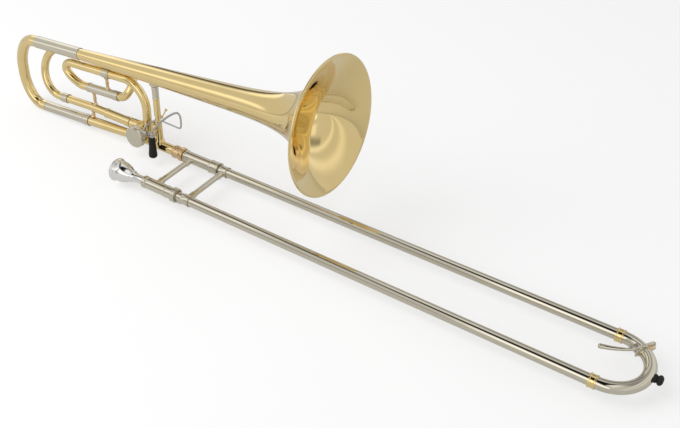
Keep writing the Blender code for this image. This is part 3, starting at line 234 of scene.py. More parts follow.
def swept(name, place, path, sizes, wall=0.0, sides=48):
    """Pull a circle along a path in mm. With a wall it is a tube, without one a solid rod."""
    path = [Vector(point) for point in path]
    if not isinstance(sizes, list):
        sizes = [sizes] * len(path)
    path, sizes = held_straight(path, sizes)
    steps = [(b - a).normalized() for a, b in zip(path, path[1:])]
    ways = [steps[0]] + [(a + b).normalized() for a, b in zip(steps, steps[1:])] + [steps[-1]]
    rest()
    fill = "NOTHING" if wall else "NGON"
    bpy.ops.mesh.primitive_circle_add(vertices=sides, radius=sizes[0] * MM, fill_type=fill,
                                      location=path[0] * MM,
                                      rotation=ways[0].to_track_quat("Z", "Y").to_euler())
    piece = bpy.context.object
    piece.name = name
    bpy.ops.object.mode_set(mode="EDIT")
    bpy.ops.mesh.select_all(action="SELECT")
    for index in range(1, len(path)):
        move = (path[index] - path[index - 1]) * MM
        bpy.ops.mesh.extrude_region_move(TRANSFORM_OT_translate={"value": move})
        turn_ring(ways[index - 1], ways[index], path[index] * MM)
        grow = sizes[index] / sizes[index - 1]
        if abs(grow - 1) > 1e-6:
            bpy.ops.transform.resize(value=(grow, grow, grow), center_override=path[index] * MM)
    bpy.ops.mesh.select_all(action="SELECT")
    bpy.ops.mesh.normals_make_consistent(inside=False)
    rest()
    pick(piece)
    bpy.ops.object.transform_apply(location=True, rotation=True, scale=True)
    if wall:
        shell = piece.modifiers.new("wall", "SOLIDIFY")
        shell.thickness = wall * MM
        shell.offset = -1.0
        bpy.ops.object.modifier_apply(modifier=shell.name)
    lay(piece, place)
    return piece


def rod(name, place, path, size, sides=24):
    """A solid rod with rounded ends."""
    path = [Vector(point) for point in path]
    sizes = size if isinstance(size, list) else [size] * len(path)
    first, last = (path[1] - path[0]).normalized(), (path[-1] - path[-2]).normalized()
    tip, tail, wide, narrow = path[0], path[-1], sizes[0], sizes[-1]
    inner = [(point, width) for point, width in zip(path, sizes)
             if (point - tip).length > 1.2 * wide and (point - tail).length > 1.2 * narrow]
    dome = [(math.sin(math.radians(a)), 1 - math.cos(math.radians(a))) for a in (25, 50, 72, 90)]
    rings = [(tip + first * wide * depth, wide * width) for width, depth in dome] + inner
    rings += [(tail - last * narrow * depth, narrow * width) for width, depth in reversed(dome)]
    return swept(name, place, [point for point, _ in rings], [width for _, width in rings], 0.0, sides)


# %% [markdown]
# A finish is a small sheet of nodes. Adding up masks with Math nodes by hand is slow to write and to
# read, so a socket is wrapped in a class on which Python's own signs work, and every other kind of node
# comes from one method.

# %% Node sheets that read like sums
class Wire:
    """One output of a node. Signs between wires and numbers add Math nodes."""

    def __init__(self, sheet, socket):
        self.sheet, self.socket = sheet, socket

    def math(self, operation, first, second):
        return self.sheet.add("ShaderNodeMath", {"operation": operation}, {0: first, 1: second})

    def __add__(self, other):
        return self.math("ADD", self, other)

    def __sub__(self, other):
        return self.math("SUBTRACT", self, other)

    def __rsub__(self, other):
        return self.math("SUBTRACT", other, self)

    def __mul__(self, other):
        return self.math("MULTIPLY", self, other)

    __radd__ = __add__
    __rmul__ = __mul__


class Sheet:
    """The nodes of one material or of the world."""

    def __init__(self, tree):
        self.tree = tree

    def add(self, kind, settings=None, inputs=None, output=0):
        """Add a node: its settings first, then the values or wires of its sockets."""
        node = self.tree.nodes.new(kind)
        for key, value in (settings or {}).items():
            if key == "stops":
                ramp = node.color_ramp
                while len(ramp.elements) < len(value):
                    ramp.elements.new(0.5)
                for element, (position, colour) in zip(ramp.elements, value):
                    element.position = position
                    element.color = colour if len(colour) == 4 else (*colour, 1.0)
            elif key == "interpolation":
                node.color_ramp.interpolation = value
            else:
                setattr(node, key, value)
        for key, value in (inputs or {}).items():
            if isinstance(value, Wire):
                self.tree.links.new(value.socket, node.inputs[key])
            else:
                node.inputs[key].default_value = value
        return Wire(self, node.outputs[output]) if node.outputs else None


# %% [markdown]
# Polished metal is nearly all mirror. Its own colour only tints what it shows, so its life comes from
# small faults: a slow change of tint where lacquer lies thicker, a haze of rubbing marks that makes one
# patch duller than the next, and a surface that is never quite true, so reflections swim a little. Each
# of the three is a noise of its own size. A clear coat stands for the lacquer.

# %% Metals
def new_sheet(name):
    material = bpy.data.materials.new(name)
    material.use_nodes = True
    material.node_tree.nodes.clear()
    return material, Sheet(material.node_tree)


def polished(name, light, deep, rough, lacquer, swim=0.35):
    """A polished metal between a light and a deep tint."""
    material, sheet = new_sheet(name)
    spot = sheet.add("ShaderNodeTexCoord", output="Object")
    cloud = sheet.add("ShaderNodeTexNoise", {}, {"Vector": spot, "Scale": 22.0, "Detail": 3.0})
    marks = sheet.add("ShaderNodeTexNoise", {}, {"Vector": spot, "Scale": 900.0, "Detail": 4.0})
    waves = sheet.add("ShaderNodeTexNoise", {}, {"Vector": spot, "Scale": 55.0, "Detail": 1.0})
    tint = sheet.add("ShaderNodeMix", {"data_type": "RGBA"}, {0: cloud, 6: deep, 7: light}, 2)
    haze = rough + (cloud - 0.5) * 0.06 + (marks - 0.5) * 0.05
    height = waves * swim + marks * 0.012
    normal = sheet.add("ShaderNodeBump", {}, {"Strength": 0.35, "Distance": 0.0004, "Height": height})
    shader = sheet.add("ShaderNodeBsdfPrincipled", {}, {
        "Base Color": tint, "Metallic": 1.0, "Roughness": haze, "Normal": normal,
        "Coat Weight": lacquer, "Coat Roughness": 0.06, "Coat IOR": 1.45})
    sheet.add("ShaderNodeOutputMaterial", {}, {"Surface": shader})
    return material


BRASS = polished("lacquered_brass", (0.91, 0.72, 0.35, 1), (0.84, 0.63, 0.26, 1), 0.06, 0.8)
NICKEL = polished("nickel_silver", (0.73, 0.68, 0.56, 1), (0.65, 0.60, 0.48, 1), 0.05, 0.0)
ROSE = polished("rose_brass", (0.83, 0.61, 0.35, 1), (0.74, 0.51, 0.27, 1), 0.10, 0.3)
SILVER = polished("mouthpiece_silver", (0.93, 0.92, 0.90, 1), (0.87, 0.86, 0.83, 1), 0.13, 0.0)
STEEL = polished("bright_steel", (0.58, 0.56, 0.53, 1), (0.48, 0.46, 0.44, 1), 0.12, 0.0)
print("metals made:", 5)

# %% [markdown]
# The rubber of the lever's sleeve, the valve's stops and the slide's tip is moulded: nearly black, dull,
# with a fine grain and slightly paler where hands have rubbed it.

# %% Rubber
def moulded(name):
    material, sheet = new_sheet(name)
    spot = sheet.add("ShaderNodeTexCoord", output="Object")
    grain = sheet.add("ShaderNodeTexNoise", {}, {"Vector": spot, "Scale": 1400.0, "Detail": 3.0})
    rubbed = sheet.add("ShaderNodeTexNoise", {}, {"Vector": spot, "Scale": 90.0, "Detail": 3.0})
    tint = sheet.add("ShaderNodeMix", {"data_type": "RGBA"},
                     {0: rubbed, 6: (0.006, 0.006, 0.006, 1), 7: (0.018, 0.017, 0.016, 1)}, 2)
    normal = sheet.add("ShaderNodeBump", {}, {"Strength": 0.4, "Distance": 0.0002, "Height": grain})
    shader = sheet.add("ShaderNodeBsdfPrincipled", {}, {
        "Base Color": tint, "Roughness": 0.40 + rubbed * 0.25, "Specular IOR Level": 0.3, "Normal": normal})
    sheet.add("ShaderNodeOutputMaterial", {}, {"Surface": shader})
    return material


RUBBER = moulded("black_rubber")

# %% [markdown]
# A finished piece is smoothed up to its real edges, gets its finish, and is tied to the body that it
# moves with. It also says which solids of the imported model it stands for.

# %% Hand a finished piece over
def fit(piece, body, material, *nodes, angle=40):
    """Smooth, finish and tie a piece, and print its size in triangles."""
    pick(piece)
    bpy.ops.object.shade_smooth_by_angle(angle=math.radians(angle))
    piece.data.materials.clear()
    piece.data.materials.append(material)
    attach(piece, body)
    if nodes:
        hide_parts(*nodes)
    print(piece.name, "on", body, sum(len(face.vertices) - 2 for face in piece.data.polygons))
    return piece


# %% [markdown]
# ## The bell
# The bell is hammered from sheet over a mandrel and spun to its flare, with a wire rolled into the rim.
# Its outline is a slow cone that opens faster and faster, which is an exponential curve. The inner skin
# is the outer one moved in along its normal, so the wall stays 0.7 mm thick. Spinning a closed profile
# gives both skins and the rim's bead in one go.

# %% Bell
BELL_H = 124.0
BELL_START, BELL_RIM = -144.0, 375.9


def bell_radius(x):
    cone = 9.6 + 0.031 * (x - BELL_START)
    return cone + (105 - 9.6 - 0.031 * (BELL_RIM - BELL_START)) * math.exp((x - BELL_RIM) / 36)


def bell_inside(x, wall=0.7):
    slope = (bell_radius(x + 0.1) - bell_radius(x - 0.1)) / 0.2
    return (x + wall * slope / math.hypot(1, slope), bell_radius(x) - wall / math.hypot(1, slope))


backs = [5.2, 6.5, 8, 10, 12.5, 15, 18, 21, 25, 29, 34, 39, 45, 52, 60, 69, 79, 90, 102, 115, 130, 147,
         166, 190, 220, 255, 295, 340, 390, 440, 490, BELL_RIM - BELL_START]
outline = []
for angle in range(-24, 217, 20):
    outline.append((BELL_RIM - 1.7 + 1.7 * math.cos(math.radians(angle)),
                    103.3 + 1.7 * math.sin(math.radians(angle))))
outline += [(BELL_RIM - back, bell_radius(BELL_RIM - back)) for back in backs]
outline += [bell_inside(BELL_RIM - back) for back in reversed([2.2, 3.6] + backs)]
bell = turned("bell_body", BELL, (0, 0, BELL_H), X, outline, 180, True, 0.0)
fit(bell, "body", BRASS, "bell_stem", "bell_flare")

# %% [markdown]
# ## The main tuning slide
# Two nickel sleeves end the bell and the gooseneck. A brass bow with two nickel legs slides in them, so
# the whole instrument can be tuned. The legs are seen only when the slide is pulled. The bow narrows a
# little from its upper end to its lower one, as the bore does.

# %% Tuning sleeves
sleeve = [(0, 10.75), (108.8, 10.75), (109.4, 10.2), (109.4, 10.15), (92.4, 10.0), (0, 10.0)]
fit(turned("upper_sleeve", BELL, (-246.4, 0, BELL_H), X, sleeve, 96), "body", NICKEL, "upper_tuning_sleeve")
sleeve = [(0, 9.25), (98.9, 9.25), (100.9, 10.2), (112.9, 10.2), (112.9, 9.3), (103.9, 9.3),
          (103.9, 8.55), (0, 8.55)]
fit(turned("lower_sleeve", BELL, (-246.4, 0, 0), X, sleeve, 96), "body", NICKEL, "lower_tuning_sleeve")

# %% Main tuning bow and its legs
path = [(-247, 0, BELL_H)]
path += arc((-257.6, 0, 66), -X * 41, Z * 58, 90, 0, 24)
path += arc((-257.6, 0, 58), -X * 41, Z * 58, 0, -90, 24)
path.append((-247, 0, 0))
sizes = [10.0 - 0.9 * index / (len(path) - 1) for index in range(len(path))]
fit(swept("rear_bow", BELL, path, sizes, 0.6, 64), "main_slide", BRASS, "main_tuning_bow")
for name, node, height, spigot, size, length in (
        ("upper_inner_leg", "upper_tuning_leg", BELL_H, 9.1, 9.65, 90),
        ("lower_inner_leg", "lower_tuning_leg", 0, 8.2, 8.25, 88)):
    wall = [(0, spigot), (10.6, spigot), (11.1, size), (length, size), (length, spigot - 0.5),
            (0, spigot - 0.5)]
    fit(turned(name, BELL, (-257.3, 0, height), X, wall), "main_slide", NICKEL, node)

# %% [markdown]
# ## Gooseneck, receiver and lock nut
# The gooseneck is a tapered brass tube from the tuning slide to the valve. In front of the valve the
# slide receiver takes the hand slide, and a knurled nut locks it there. The knurl is cut by pressing a
# wheel into the turned nut. Here the faces of its band are inset one by one and pushed in, which leaves
# the same rows of small lands between grooves.

# %% Gooseneck and receiver
path = [(-141.5, 0, 0), (-100, 0, 0), (-60, 0, 0.1), (-34, 0, 0.5), (-24.8, 0, 0.5)]
fit(swept("neck_tube", BELL, path, [8.9, 8.6, 8.05, 7.55, 7.55], 0.7, 64), "body", BRASS, "gooseneck")
wall = [(0, 8.95), (2, 8.95), (2.4, 8.35), (59.3, 8.35), (59.3, 6.9), (0, 6.9)]
fit(turned("receiver_tube", SLIDE, (13.4, 0, 0), X, wall, 96), "body", BRASS, "slide_receiver")

# %% Lock nut with its knurl
def knurl(piece, place, low, high, thickness, depth):
    """Inset the outer faces whose middles lie between low and high mm along the place's X."""
    inverse = place.inverted()
    for face in piece.data.polygons:
        spot = inverse @ face.center
        outwards = (inverse.to_3x3() @ face.normal).dot(Vector((0, spot.y, spot.z)))
        face.select = low * MM < spot.x < high * MM and outwards > 0
    for edge in piece.data.edges:
        edge.select = False
    for vertex in piece.data.vertices:
        vertex.select = False
    pick(piece)
    bpy.ops.object.mode_set(mode="EDIT")
    bpy.ops.mesh.select_mode(type="FACE")
    bpy.ops.mesh.inset(thickness=thickness * MM, depth=depth * MM, use_individual=True)
    bpy.ops.mesh.select_mode(type="VERT")
    rest()


rows = [(15.4 + 0.8 * step, 11.6) for step in range(7)]
profile = [(0, 9.8), (1, 10.7), (2, 10.8), (3.2, 10.8), (3.6, 10.5), (4.4, 10.5), (4.8, 10.8), (6, 10.8),
           (7.4, 10.2), (11, 10.3), (14, 10.6), (14.8, 11.5)] + rows
profile += [(20.8, 11.5), (22, 10.6), (22, 7.85), (13.5, 7.85), (13.5, 8.75), (0, 8.75)]
nut = turned("locking_nut", SLIDE, (64, 0, 0), X, profile, 72, True, 0.2)
knurl(nut, SLIDE, 79.5, 84.1, 0.14, -0.16)
fit(nut, "nut", ROSE, "lock_nut", angle=30)

# %% [markdown]
# ## The rotary valve
# A drum holds a rotor with two passages, which sends the air round the F tubing. Short nickel knuckles
# lead the tubes in and out. The drum and its knuckles are solids added together, and then the cavity and
# the ports are cut, as they are bored on the real one. The near end is closed by a screwed cap.

# %% Valve casing
VALVE = Vector((-6, 0, 11.5))
DOWN = Vector((math.sin(math.radians(-4)), 0, -math.cos(math.radians(-4))))
DOWN_END = Vector((6.378, 0, 31.5))


def solid_bar(name, place, start, way, length, size, sides=72, ease=0.3):
    """A turned solid bar with eased ends."""
    bar = [(0, 0), (0, size), (length, size), (length, 0)]
    return turned(name, place, start, way, bar, sides, False, ease)


drum = [(0, 0), (0, 17.5), (33.6, 17.5), (34, 17.2), (34.4, 17.2), (36, 16.2), (36, 0)]
case = turned("valve_case", BELL, (-6, -19, 11.5), Y, drum, 128, False, 0.4)
knuckles = [((-12, 0, 0.5), -X, 18, 9.1), ((-12, 0, 22.5), -X, 18, 9.1), ((0, 0, 0.5), X, 12.2, 8.35),
            (DOWN_END + DOWN * 12, -DOWN, 16.4, 8.7)]
for index, (start, way, length, size) in enumerate(knuckles):
    fuse(case, solid_bar(f"knuckle_{index}", BELL, start, way, length, size, 96))
cavity = [(-1, 0), (-1, 16), (33, 16), (33, 3.3), (37, 3.3), (37, 0)]
cut(case, turned("cavity", BELL, (-6, -19, 11.5), Y, cavity, 128, False, 0.0))
for height in (0.5, 22.5):
    bore = [(0, 0), (0, 5.6), (10.2, 5.6), (10.2, 7.95), (20, 7.95), (20, 0)]
    cut(case, turned("bore", BELL, (-14, 0, height), -X, bore, 64, False, 0.0))
cut(case, solid_bar("bore", BELL, (2, 0, 0.5), X, 20, 5.6, 64))
bore = [(0, 0), (0, 5.6), (7.7, 5.6), (7.7, 7.55), (20, 7.55), (20, 0)]
cut(case, turned("bore", BELL, DOWN_END + DOWN * 8, -DOWN, bore, 64, False, 0.0))
fit(case, "body", BRASS, "rotor_casing")

# %% Valve cap, bearing plate and rubber stops
cap = [(0, 0), (0.35, 9), (0.15, 14.5), (0, 15.6), (0.3, 16.6), (1.2, 18.2), (2, 18.7)]
cap += [(2.6 + 0.7 * row, 18.7) for row in range(10)]
cap += [(10, 18.9), (10, 17.8), (4.7, 17.8), (4.7, 0)]
cover = turned("valve_cover", BELL, (-6, -24, 11.5), Y, cap, 110, False, 0.2)
CAP_PLACE = BELL @ Matrix.Translation(Vector((-6, -24, 11.5)) * MM) @ Matrix.Rotation(math.pi / 2, 4, "Z")
knurl(cover, CAP_PLACE, 2.6, 8.9, 0.14, -0.15)
fit(cover, "body", NICKEL, "valve_cap", angle=30)
plate = [(0, 3.2), (0, 15.65), (0.5, 15.65), (3.1, 15.65), (3.1, 3.2)]
fit(turned("inner_bearing", BELL, (-6, -18.2, 11.5), Y, plate, 96), "body", NICKEL, "bearing_plate")
for name, node, side in (("upper_stop", "stop_bumper_upper", 68), ("lower_stop", "stop_bumper_lower", -68)):
    turn = math.radians(side)
    start = VALVE + Vector((12.7 * math.cos(turn), 17.3, 12.7 * math.sin(turn)))
    stop = [(0, 0), (0, 2.4), (0.8, 2.2), (6, 2.2), (6.8, 1.6), (6.8, 0)]
    fit(turned(name, BELL, start, Y, stop, 40, False), "body", RUBBER, node)

# %% [markdown]
# On the far side the rotor's shaft carries a stop arm, which swings between the two rubber stops. A link
# with an eye at each end joins its pin to the thumb lever.

# %% Stop arm and link
REACH = Vector((math.cos(math.pi / 4), 0, math.sin(math.pi / 4)))
hub = VALVE + Y * 19.8
arm = solid_bar("rotor_arm", BELL, hub, Y, 3.6, 6.0)
fuse(arm, rod("bar", BELL, [hub + Y * 1.8 + REACH * 0.5, hub + Y * 1.8 + REACH * 13], 1.75, 32))
fuse(arm, solid_bar("pin", BELL, hub + REACH * 11, Y, 5.4, 2.5, 48))
cut(arm, solid_bar("hole", BELL, hub - Y, Y, 6, 3.2, 48, 0.0))
fit(arm, "valve_rotor", STEEL, "stop_arm")
high, low = Vector((13.5, 27.3, 34.3)), Vector((1.778, 27.3, 19.278))
link = solid_bar("lever_link", BELL, high - Y * 1.4, Y, 2.8, 2.7, 48)
fuse(link, solid_bar("eye", BELL, low - Y * 1.4, Y, 2.8, 2.7, 48))
fuse(link, solid_bar("bar", BELL, high, low - high, (high - low).length, 1.1, 24))
fit(link, "link", STEEL, "link_rod")
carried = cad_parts["rotor"]
carried.data.materials.clear()
carried.data.materials.append(NICKEL)

# %% [markdown]
# ## The thumb lever
# The left thumb presses a black sleeve at the lower end of a bright wire. The wire rises, leans forward
# and closes in a loop. It turns in a small bracket on the receiver, and its shaft's other arm reaches
# over the valve to the link. A coil of spring wire brings it back.

# %% Lever bracket and spring
bracket = solid_bar("lever_post", BELL, (16.6, -20, 26), X, 7.2, 3.5, 64, 0.5)
foot = Vector((20, 0, -1.5))
way = Vector((20, -20, 26)) - foot
post = [(0, 0), (0, 3.6), (9.95, 3.6), (11, 3.1), (12.85, 2.6), (way.length, 2.6), (way.length, 0)]
fuse(bracket, turned("post", BELL, foot, way, post, 64, False))
cut(bracket, solid_bar("hole", BELL, (9.6, -20, 26), X, 30, 1.9, 48, 0.0))
cut(bracket, solid_bar("seat", SLIDE, (5, 0, 0), X, 40, 8.4, 96, 0.0))
fit(bracket, "body", STEEL, "lever_bracket")


def coil(name, place, start, axis, size, wire, turns, pitch):
    """A coil of round wire."""
    across = axis.orthogonal().normalized()
    up = axis.cross(across)
    points = []
    for step in range(turns * 24 + 1):
        angle = math.tau * step / 24
        points.append(Vector(start) + axis * (pitch * step / 24)
                      + (across * math.cos(angle) + up * math.sin(angle)) * size)
    return swept(name, place, points, wire, 0.0, 12)


fit(coil("return_spring", BELL, (24.6, -20, 26), X, 2.3, 0.35, 4, 1.3), "body", STEEL, "lever_spring")

# %% Thumb lever and its sleeve
def smooth_path(points, parts=6):
    """More points along a soft curve through the given ones."""
    points = [Vector(point) for point in points]
    full = [points[0]] + points + [points[-1]]
    result = []
    for a, b, c, d in zip(full, full[1:], full[2:], full[3:]):
        for step in range(parts):
            t = step / parts
            result.append(0.5 * (2 * b + (c - a) * t + (2 * a - 5 * b + 4 * c - d) * t * t
                                 + (3 * b - a - 3 * c + d) * t ** 3))
    return result + [points[-1]]


shape = [(0, -13), (1.2, 19), (2.7, 30), (7.4, 37.5), (15.4, 46), (28.4, 58.5), (44.9, 71.5), (57.4, 79.3),
         (63.4, 81), (67.7, 78.5), (69.4, 73), (69.4, 66), (69, 60), (67.2, 56.2), (63.4, 55), (55.4, 55.6),
         (43.4, 56.6), (30.4, 57.8)]
path = smooth_path([(32.6 + forward, -20, height) for forward, height in shape])
sizes = [1.75 - 0.55 * max(0, index / (len(path) - 1) - 0.45) / 0.4 for index in range(len(path))]
sizes = [max(1.2, size) for size in sizes]
half = int(len(path) * 0.8)
lever = rod("lever_wire", BELL, path[:half], sizes[:half])
fuse(lever, rod("loop_end", BELL, path[half - 2:], sizes[half - 2:]))
fuse(lever, solid_bar("shaft", BELL, (11, -20, 26), X, 23, 1.6, 32))
collar = [(0, 0), (0, 3), (1, 3.7), (3.6, 3.7), (4, 3.4), (5, 3.4), (5.4, 3.7), (8, 3.7), (9, 3), (9, 0)]
fuse(lever, turned("collar", BELL, (34.2, -20, 21), (0.14, 0, 1), collar, 48, False))
reach = [(13.5, -20, 26), (13.5, -13.5, 33), (15.8, -10.8, 35.9), (18.1, -6, 37.5), (18.1, 6, 37.5),
         (15.8, 10.8, 36.9), (13.5, 19, 35.2), (13.5, 22.5, 34.3), (13.5, 25.1, 34.3)]
fuse(lever, rod("reach", BELL, smooth_path(reach, 5), 1.6))
fit(lever, "lever", STEEL, "thumb_lever")
sleeve = [(0, 0), (0, 3.4), (1.2, 5.8), (2.6, 6.9), (5, 7.25), (9, 6.95), (14, 6.5), (22, 5.9), (28, 5.6),
          (33, 5.6), (35, 5.6), (36, 4.8), (36, 2.1), (2.6, 2.1), (2.6, 0)]
fit(turned("thumb_sleeve", BELL, (32.38, -20, -16), (1.2, 0, 32), sleeve, 64, False, 0.5), "lever", RUBBER,
    "lever_sleeve")

# %% [markdown]
# ## The F tubing
# About a metre of extra tube loops behind the valve: back from the casing, round a large rear bow, over
# the top behind the bell's stem, down through a front bend, and back through a small tuning slide of its
# own. Brass tubes meet in nickel ferrules.

# %% Rear tube, its sleeve and ferrule, and the large bow
path = [(-195.5, 0, 29.5), (-125, 0, 28.9), (-100, 0, 27.3), (-86, 0, 26.4)]
fit(swept("f_back_tube", BELL, path, 7.1, 0.5, 64), "body", BRASS, "f_rear_tube")
start = Vector((-90, 0, 26.4))
way = Vector((-26, 0, 22.5)) - start
long = way.length
profile = [(0, 8.6), (3, 8.6), (3.6, 8.0), (long - 16, 8.0), (long - 15.6, 8.7), (long - 6, 8.7),
           (long - 5.6, 7.3), (long, 7.3), (long, 6.6), (8, 6.6), (8, 7.5), (0, 7.5)]
fit(turned("f_back_sleeve", BELL, start, way, profile, 96), "body", BRASS, "f_rear_sleeve")
ferrule = [(0, 8.4), (15.5, 8.4), (15.5, 7.45), (0, 7.45)]
fit(turned("f_back_ferrule", BELL, (-199, 0, 29.5), X, ferrule, 96, True, 0.4), "body", NICKEL,
    "f_rear_ferrule")
path = [(-196, 0, 29.5)] + arc((-206, 8.5, 71), -X * 42.36, (0, 8.5, 41.5), -90, 90, 40)
path.append((-54.3, 17, 112.5))
fit(swept("f_round_bow", BELL, path, 7.0, 0.5, 64), "body", BRASS, "f_big_bow")

# %% Front bend, sleeve, ferrule and down tube
path = [(-54, 17, 112.5)]
for step in range(37):
    angle = math.radians(90 - 5 * step)
    share = min(max((142 - 5 * step) / 92, 0), 1)
    side = 17.0 * share * share * (3 - 2 * share)
    path.append((-52 + 21.4 * math.cos(angle), side, 89.1 + 23.4 * math.sin(angle)))
path.append((-60, 0, 65.7))
fit(swept("f_front_bow", BELL, path, 7.0, 0.5, 64), "body", BRASS, "f_front_bend")
wall = [(0, 8.5), (4, 8.5), (4.5, 7.75), (61, 7.75), (61.5, 8.4), (74, 8.4), (74, 7.4), (62, 7.4),
        (62, 6.95), (0, 6.95)]
fit(turned("f_slide_sleeve", BELL, (-127, 0, 65.7), X, wall, 96), "body", NICKEL, "f_lower_sleeve")
wall = [(0, 8.3), (3, 8.3), (3.4, 8.0), (12.6, 8.0), (13, 8.3), (16, 8.3), (16, 7.55), (0, 7.55)]
fit(turned("f_slide_ferrule", BELL, (-85.5, 0, 102.3), X, wall, 96), "body", NICKEL, "f_upper_ferrule")
path = [(-73.5, 0, 102.3)] + arc((-38, 0, 56.3), X * 46, Z * 46, 90, -4, 32) + [DOWN_END]
fit(swept("f_drop_tube", BELL, path, 7.25, 0.5, 64), "body", BRASS, "f_down_tube")

# %% F tuning slide
path = smooth_path([(-143.5, 0, 65.7), (-152, 0, 68), (-161, 0, 71.7), (-169, 0, 76.6), (-175.5, 0, 82.2),
                    (-178.9, 0, 88), (-178.5, 0, 94), (-174.5, 0, 99), (-168, 0, 101.7), (-161, 0, 102.3)])
path = [(-127.3, 0, 65.7)] + path + [(-85.8, 0, 102.3)]
fit(swept("f_small_bow", BELL, path, 7.25, 0.5, 64), "f_slide", BRASS, "f_tuning_bow")
for name, node, start, length in (("f_inner_leg_low", "f_lower_leg", (-135, 0, 65.7), 68),
                                  ("f_inner_leg_high", "f_upper_leg", (-93.5, 0, 102.3), 42)):
    wall = [(0, 6.35), (length, 6.35), (length, 5.8), (0, 5.8)]
    fit(turned(name, BELL, start, X, wall), "f_slide", NICKEL, node)

# %% [markdown]
# Small struts hold the loops apart. Each has a foot as wide as a shirt button at both ends, soldered to
# the tube. A strut is turned long enough to reach both tubes' middles and then cut back by bars as thick
# as the tubes, so its feet fit them exactly.

# %% Struts and saddle
def strut(name, node, start, end, start_size, end_size, foot=4.2, waist=2.6):
    start, end = Vector(start), Vector(end)
    length = (end - start).length
    middle = length / 2
    profile = [(0, 0), (0, foot), (start_size + 1.0, foot), (start_size + 2.2, waist + 0.7),
               (start_size + 3.6, waist), (middle - 1.6, waist), (middle - 0.8, waist + 0.7),
               (middle + 0.8, waist + 0.7), (middle + 1.6, waist), (length - end_size - 3.6, waist),
               (length - end_size - 2.2, waist + 0.7), (length - end_size - 1.0, foot), (length, foot),
               (length, 0)]
    piece = turned(name, BELL, start, end - start, profile, 64, False, 0.2)
    for spot, size in ((start, start_size), (end, end_size)):
        cut(piece, solid_bar("seat", BELL, spot - X * 14, X, 28, size + 0.02, 96, 0.0))
    return fit(piece, "body", ROSE, node)


strut("strut_upper", "f_slide_strut", (-79.8, 0, 102.3), (-79.8, 0, 65.7), 8.3, 7.75)
strut("strut_middle", "f_wrap_strut", (-116, 0, 65.7), (-116, 0, 28.4), 7.75, 7.1)
strut("strut_lower", "gooseneck_strut", (-121, 0, 28.6), (-128.5, 0, 0), 7.1, 10.2)
start, end = Vector((-170, 0, 124)), Vector((-170, 17, 112.5))
saddle = solid_bar("stem_saddle", BELL, start, end - start, (end - start).length, 5, 64, 0.0)
cut(saddle, solid_bar("seat", BELL, start - X * 14, X, 28, 10.77, 96, 0.0))
cut(saddle, solid_bar("seat", BELL, end - X * 14, X, 28, 7.02, 96, 0.0))
fit(saddle, "body", NICKEL, "bell_saddle")

# %% [markdown]
# ## The bell brace
# A post under the bell drops into a socket on the receiver, and a small pin with a ball knob locks them.
# The post's flange is cut to the bell's own curve.

# %% Bell brace
post = [(0, 0), (0, 8.6), (16.7, 8.6), (17.8, 7.2), (19.1, 6.2), (26, 5.7), (39.2, 5.5), (39.6, 5.9),
        (41.2, 5.9), (41.6, 5.5), (71.3, 5.5), (71.3, 0)]
brace_post = turned("brace_upper", BELL, (32, 0, BELL_H), -Z, post, 96, False)
seat = [(8, 0), (8, bell_radius(8) + 0.02), (20, bell_radius(20) + 0.02), (32, bell_radius(32) + 0.02),
        (44, bell_radius(44) + 0.02), (56, bell_radius(56) + 0.02), (56, 0)]
cut(brace_post, turned("seat", BELL, (0, 0, BELL_H), X, seat, 180, False, 0.0))
fit(brace_post, "body", NICKEL, "bell_brace_post")
brace_post.data.materials.append(BRASS)
lower_part = [face for face in brace_post.data.polygons if (BELL.inverted() @ face.center).z < 83.6 * MM]
for face in lower_part:
    face.material_index = 1
socket = [(0, 0), (0, 4.2), (10, 4.2), (10.6, 6), (42.9, 6), (44, 6.8), (45.4, 8), (52.4, 8), (52.4, 0)]
brace_socket = turned("brace_lower", BELL, (32, 0, 52.4), -Z, socket, 96, False)
fuse(brace_socket, rod("pin", BELL, smooth_path([(34, 2, 46.4), (38.5, 6.5, 52.4), (41.5, 10, 60)]), 1.1))
knob = [(0, 0), (0, 1), (1, 2.1), (2.6, 2.4), (4.2, 1.6), (4.8, 0)]
fuse(brace_socket, turned("knob", BELL, (41.1, 9.5, 59), (3, 3.5, 7), knob, 32, False, 0.5))
cut(brace_socket, solid_bar("seat", SLIDE, (10, 0, 0), X, 50, 8.37, 96, 0.0))
fit(brace_socket, "body", BRASS, "bell_brace_socket")

# %% [markdown]
# ## The inner slide
# Two thin inner tubes start in wide barrels, which hold cork rings that cushion the outer slide. A cross
# brace joins the barrels, and the left hand holds it. The brace is turned in one piece, with a socket at
# each end, and is cut back to the barrels' outside.

# %% Inner tubes and cork barrels
NEAR = -92.0
wall = [(0, 6.75), (596.3, 6.75), (597.3, 6.8), (706.3, 6.8), (706.3, 6.2), (0, 6.2)]
for name, node, y in (("stocking_far", "inner_tube_far", 0), ("stocking_near", "inner_tube_near", NEAR)):
    fit(turned(name, SLIDE, (93.7, y, 0), X, wall), "body", NICKEL, node)
far = [(50, 6.5), (73, 6.5), (73, 8.1), (77.2, 8.1), (77.2, 7.5), (88.5, 7.5), (88.8, 10.2), (91, 10.2),
       (91.5, 9.3), (142, 9.3), (142.6, 11), (143.6, 11), (144.4, 10.5), (155.6, 10.5), (156.4, 11),
       (160, 11), (160, 8.35), (102, 8.35), (102, 7.1), (93.4, 7.1), (93.4, 5.7), (50, 5.7)]
fit(turned("barrel_far", SLIDE, (0, 0, 0), X, far, 96), "body", NICKEL, "cork_barrel_far")
nearer = [(89, 8.8), (90.5, 9.3), (128, 9.3), (128.6, 9.8), (130.4, 9.8), (130.4, 9.3), (152, 9.3),
          (152, 8.35), (89, 8.35)]
fit(turned("barrel_near", SLIDE, (0, NEAR, 0), X, nearer, 96), "body", NICKEL, "cork_barrel_near")
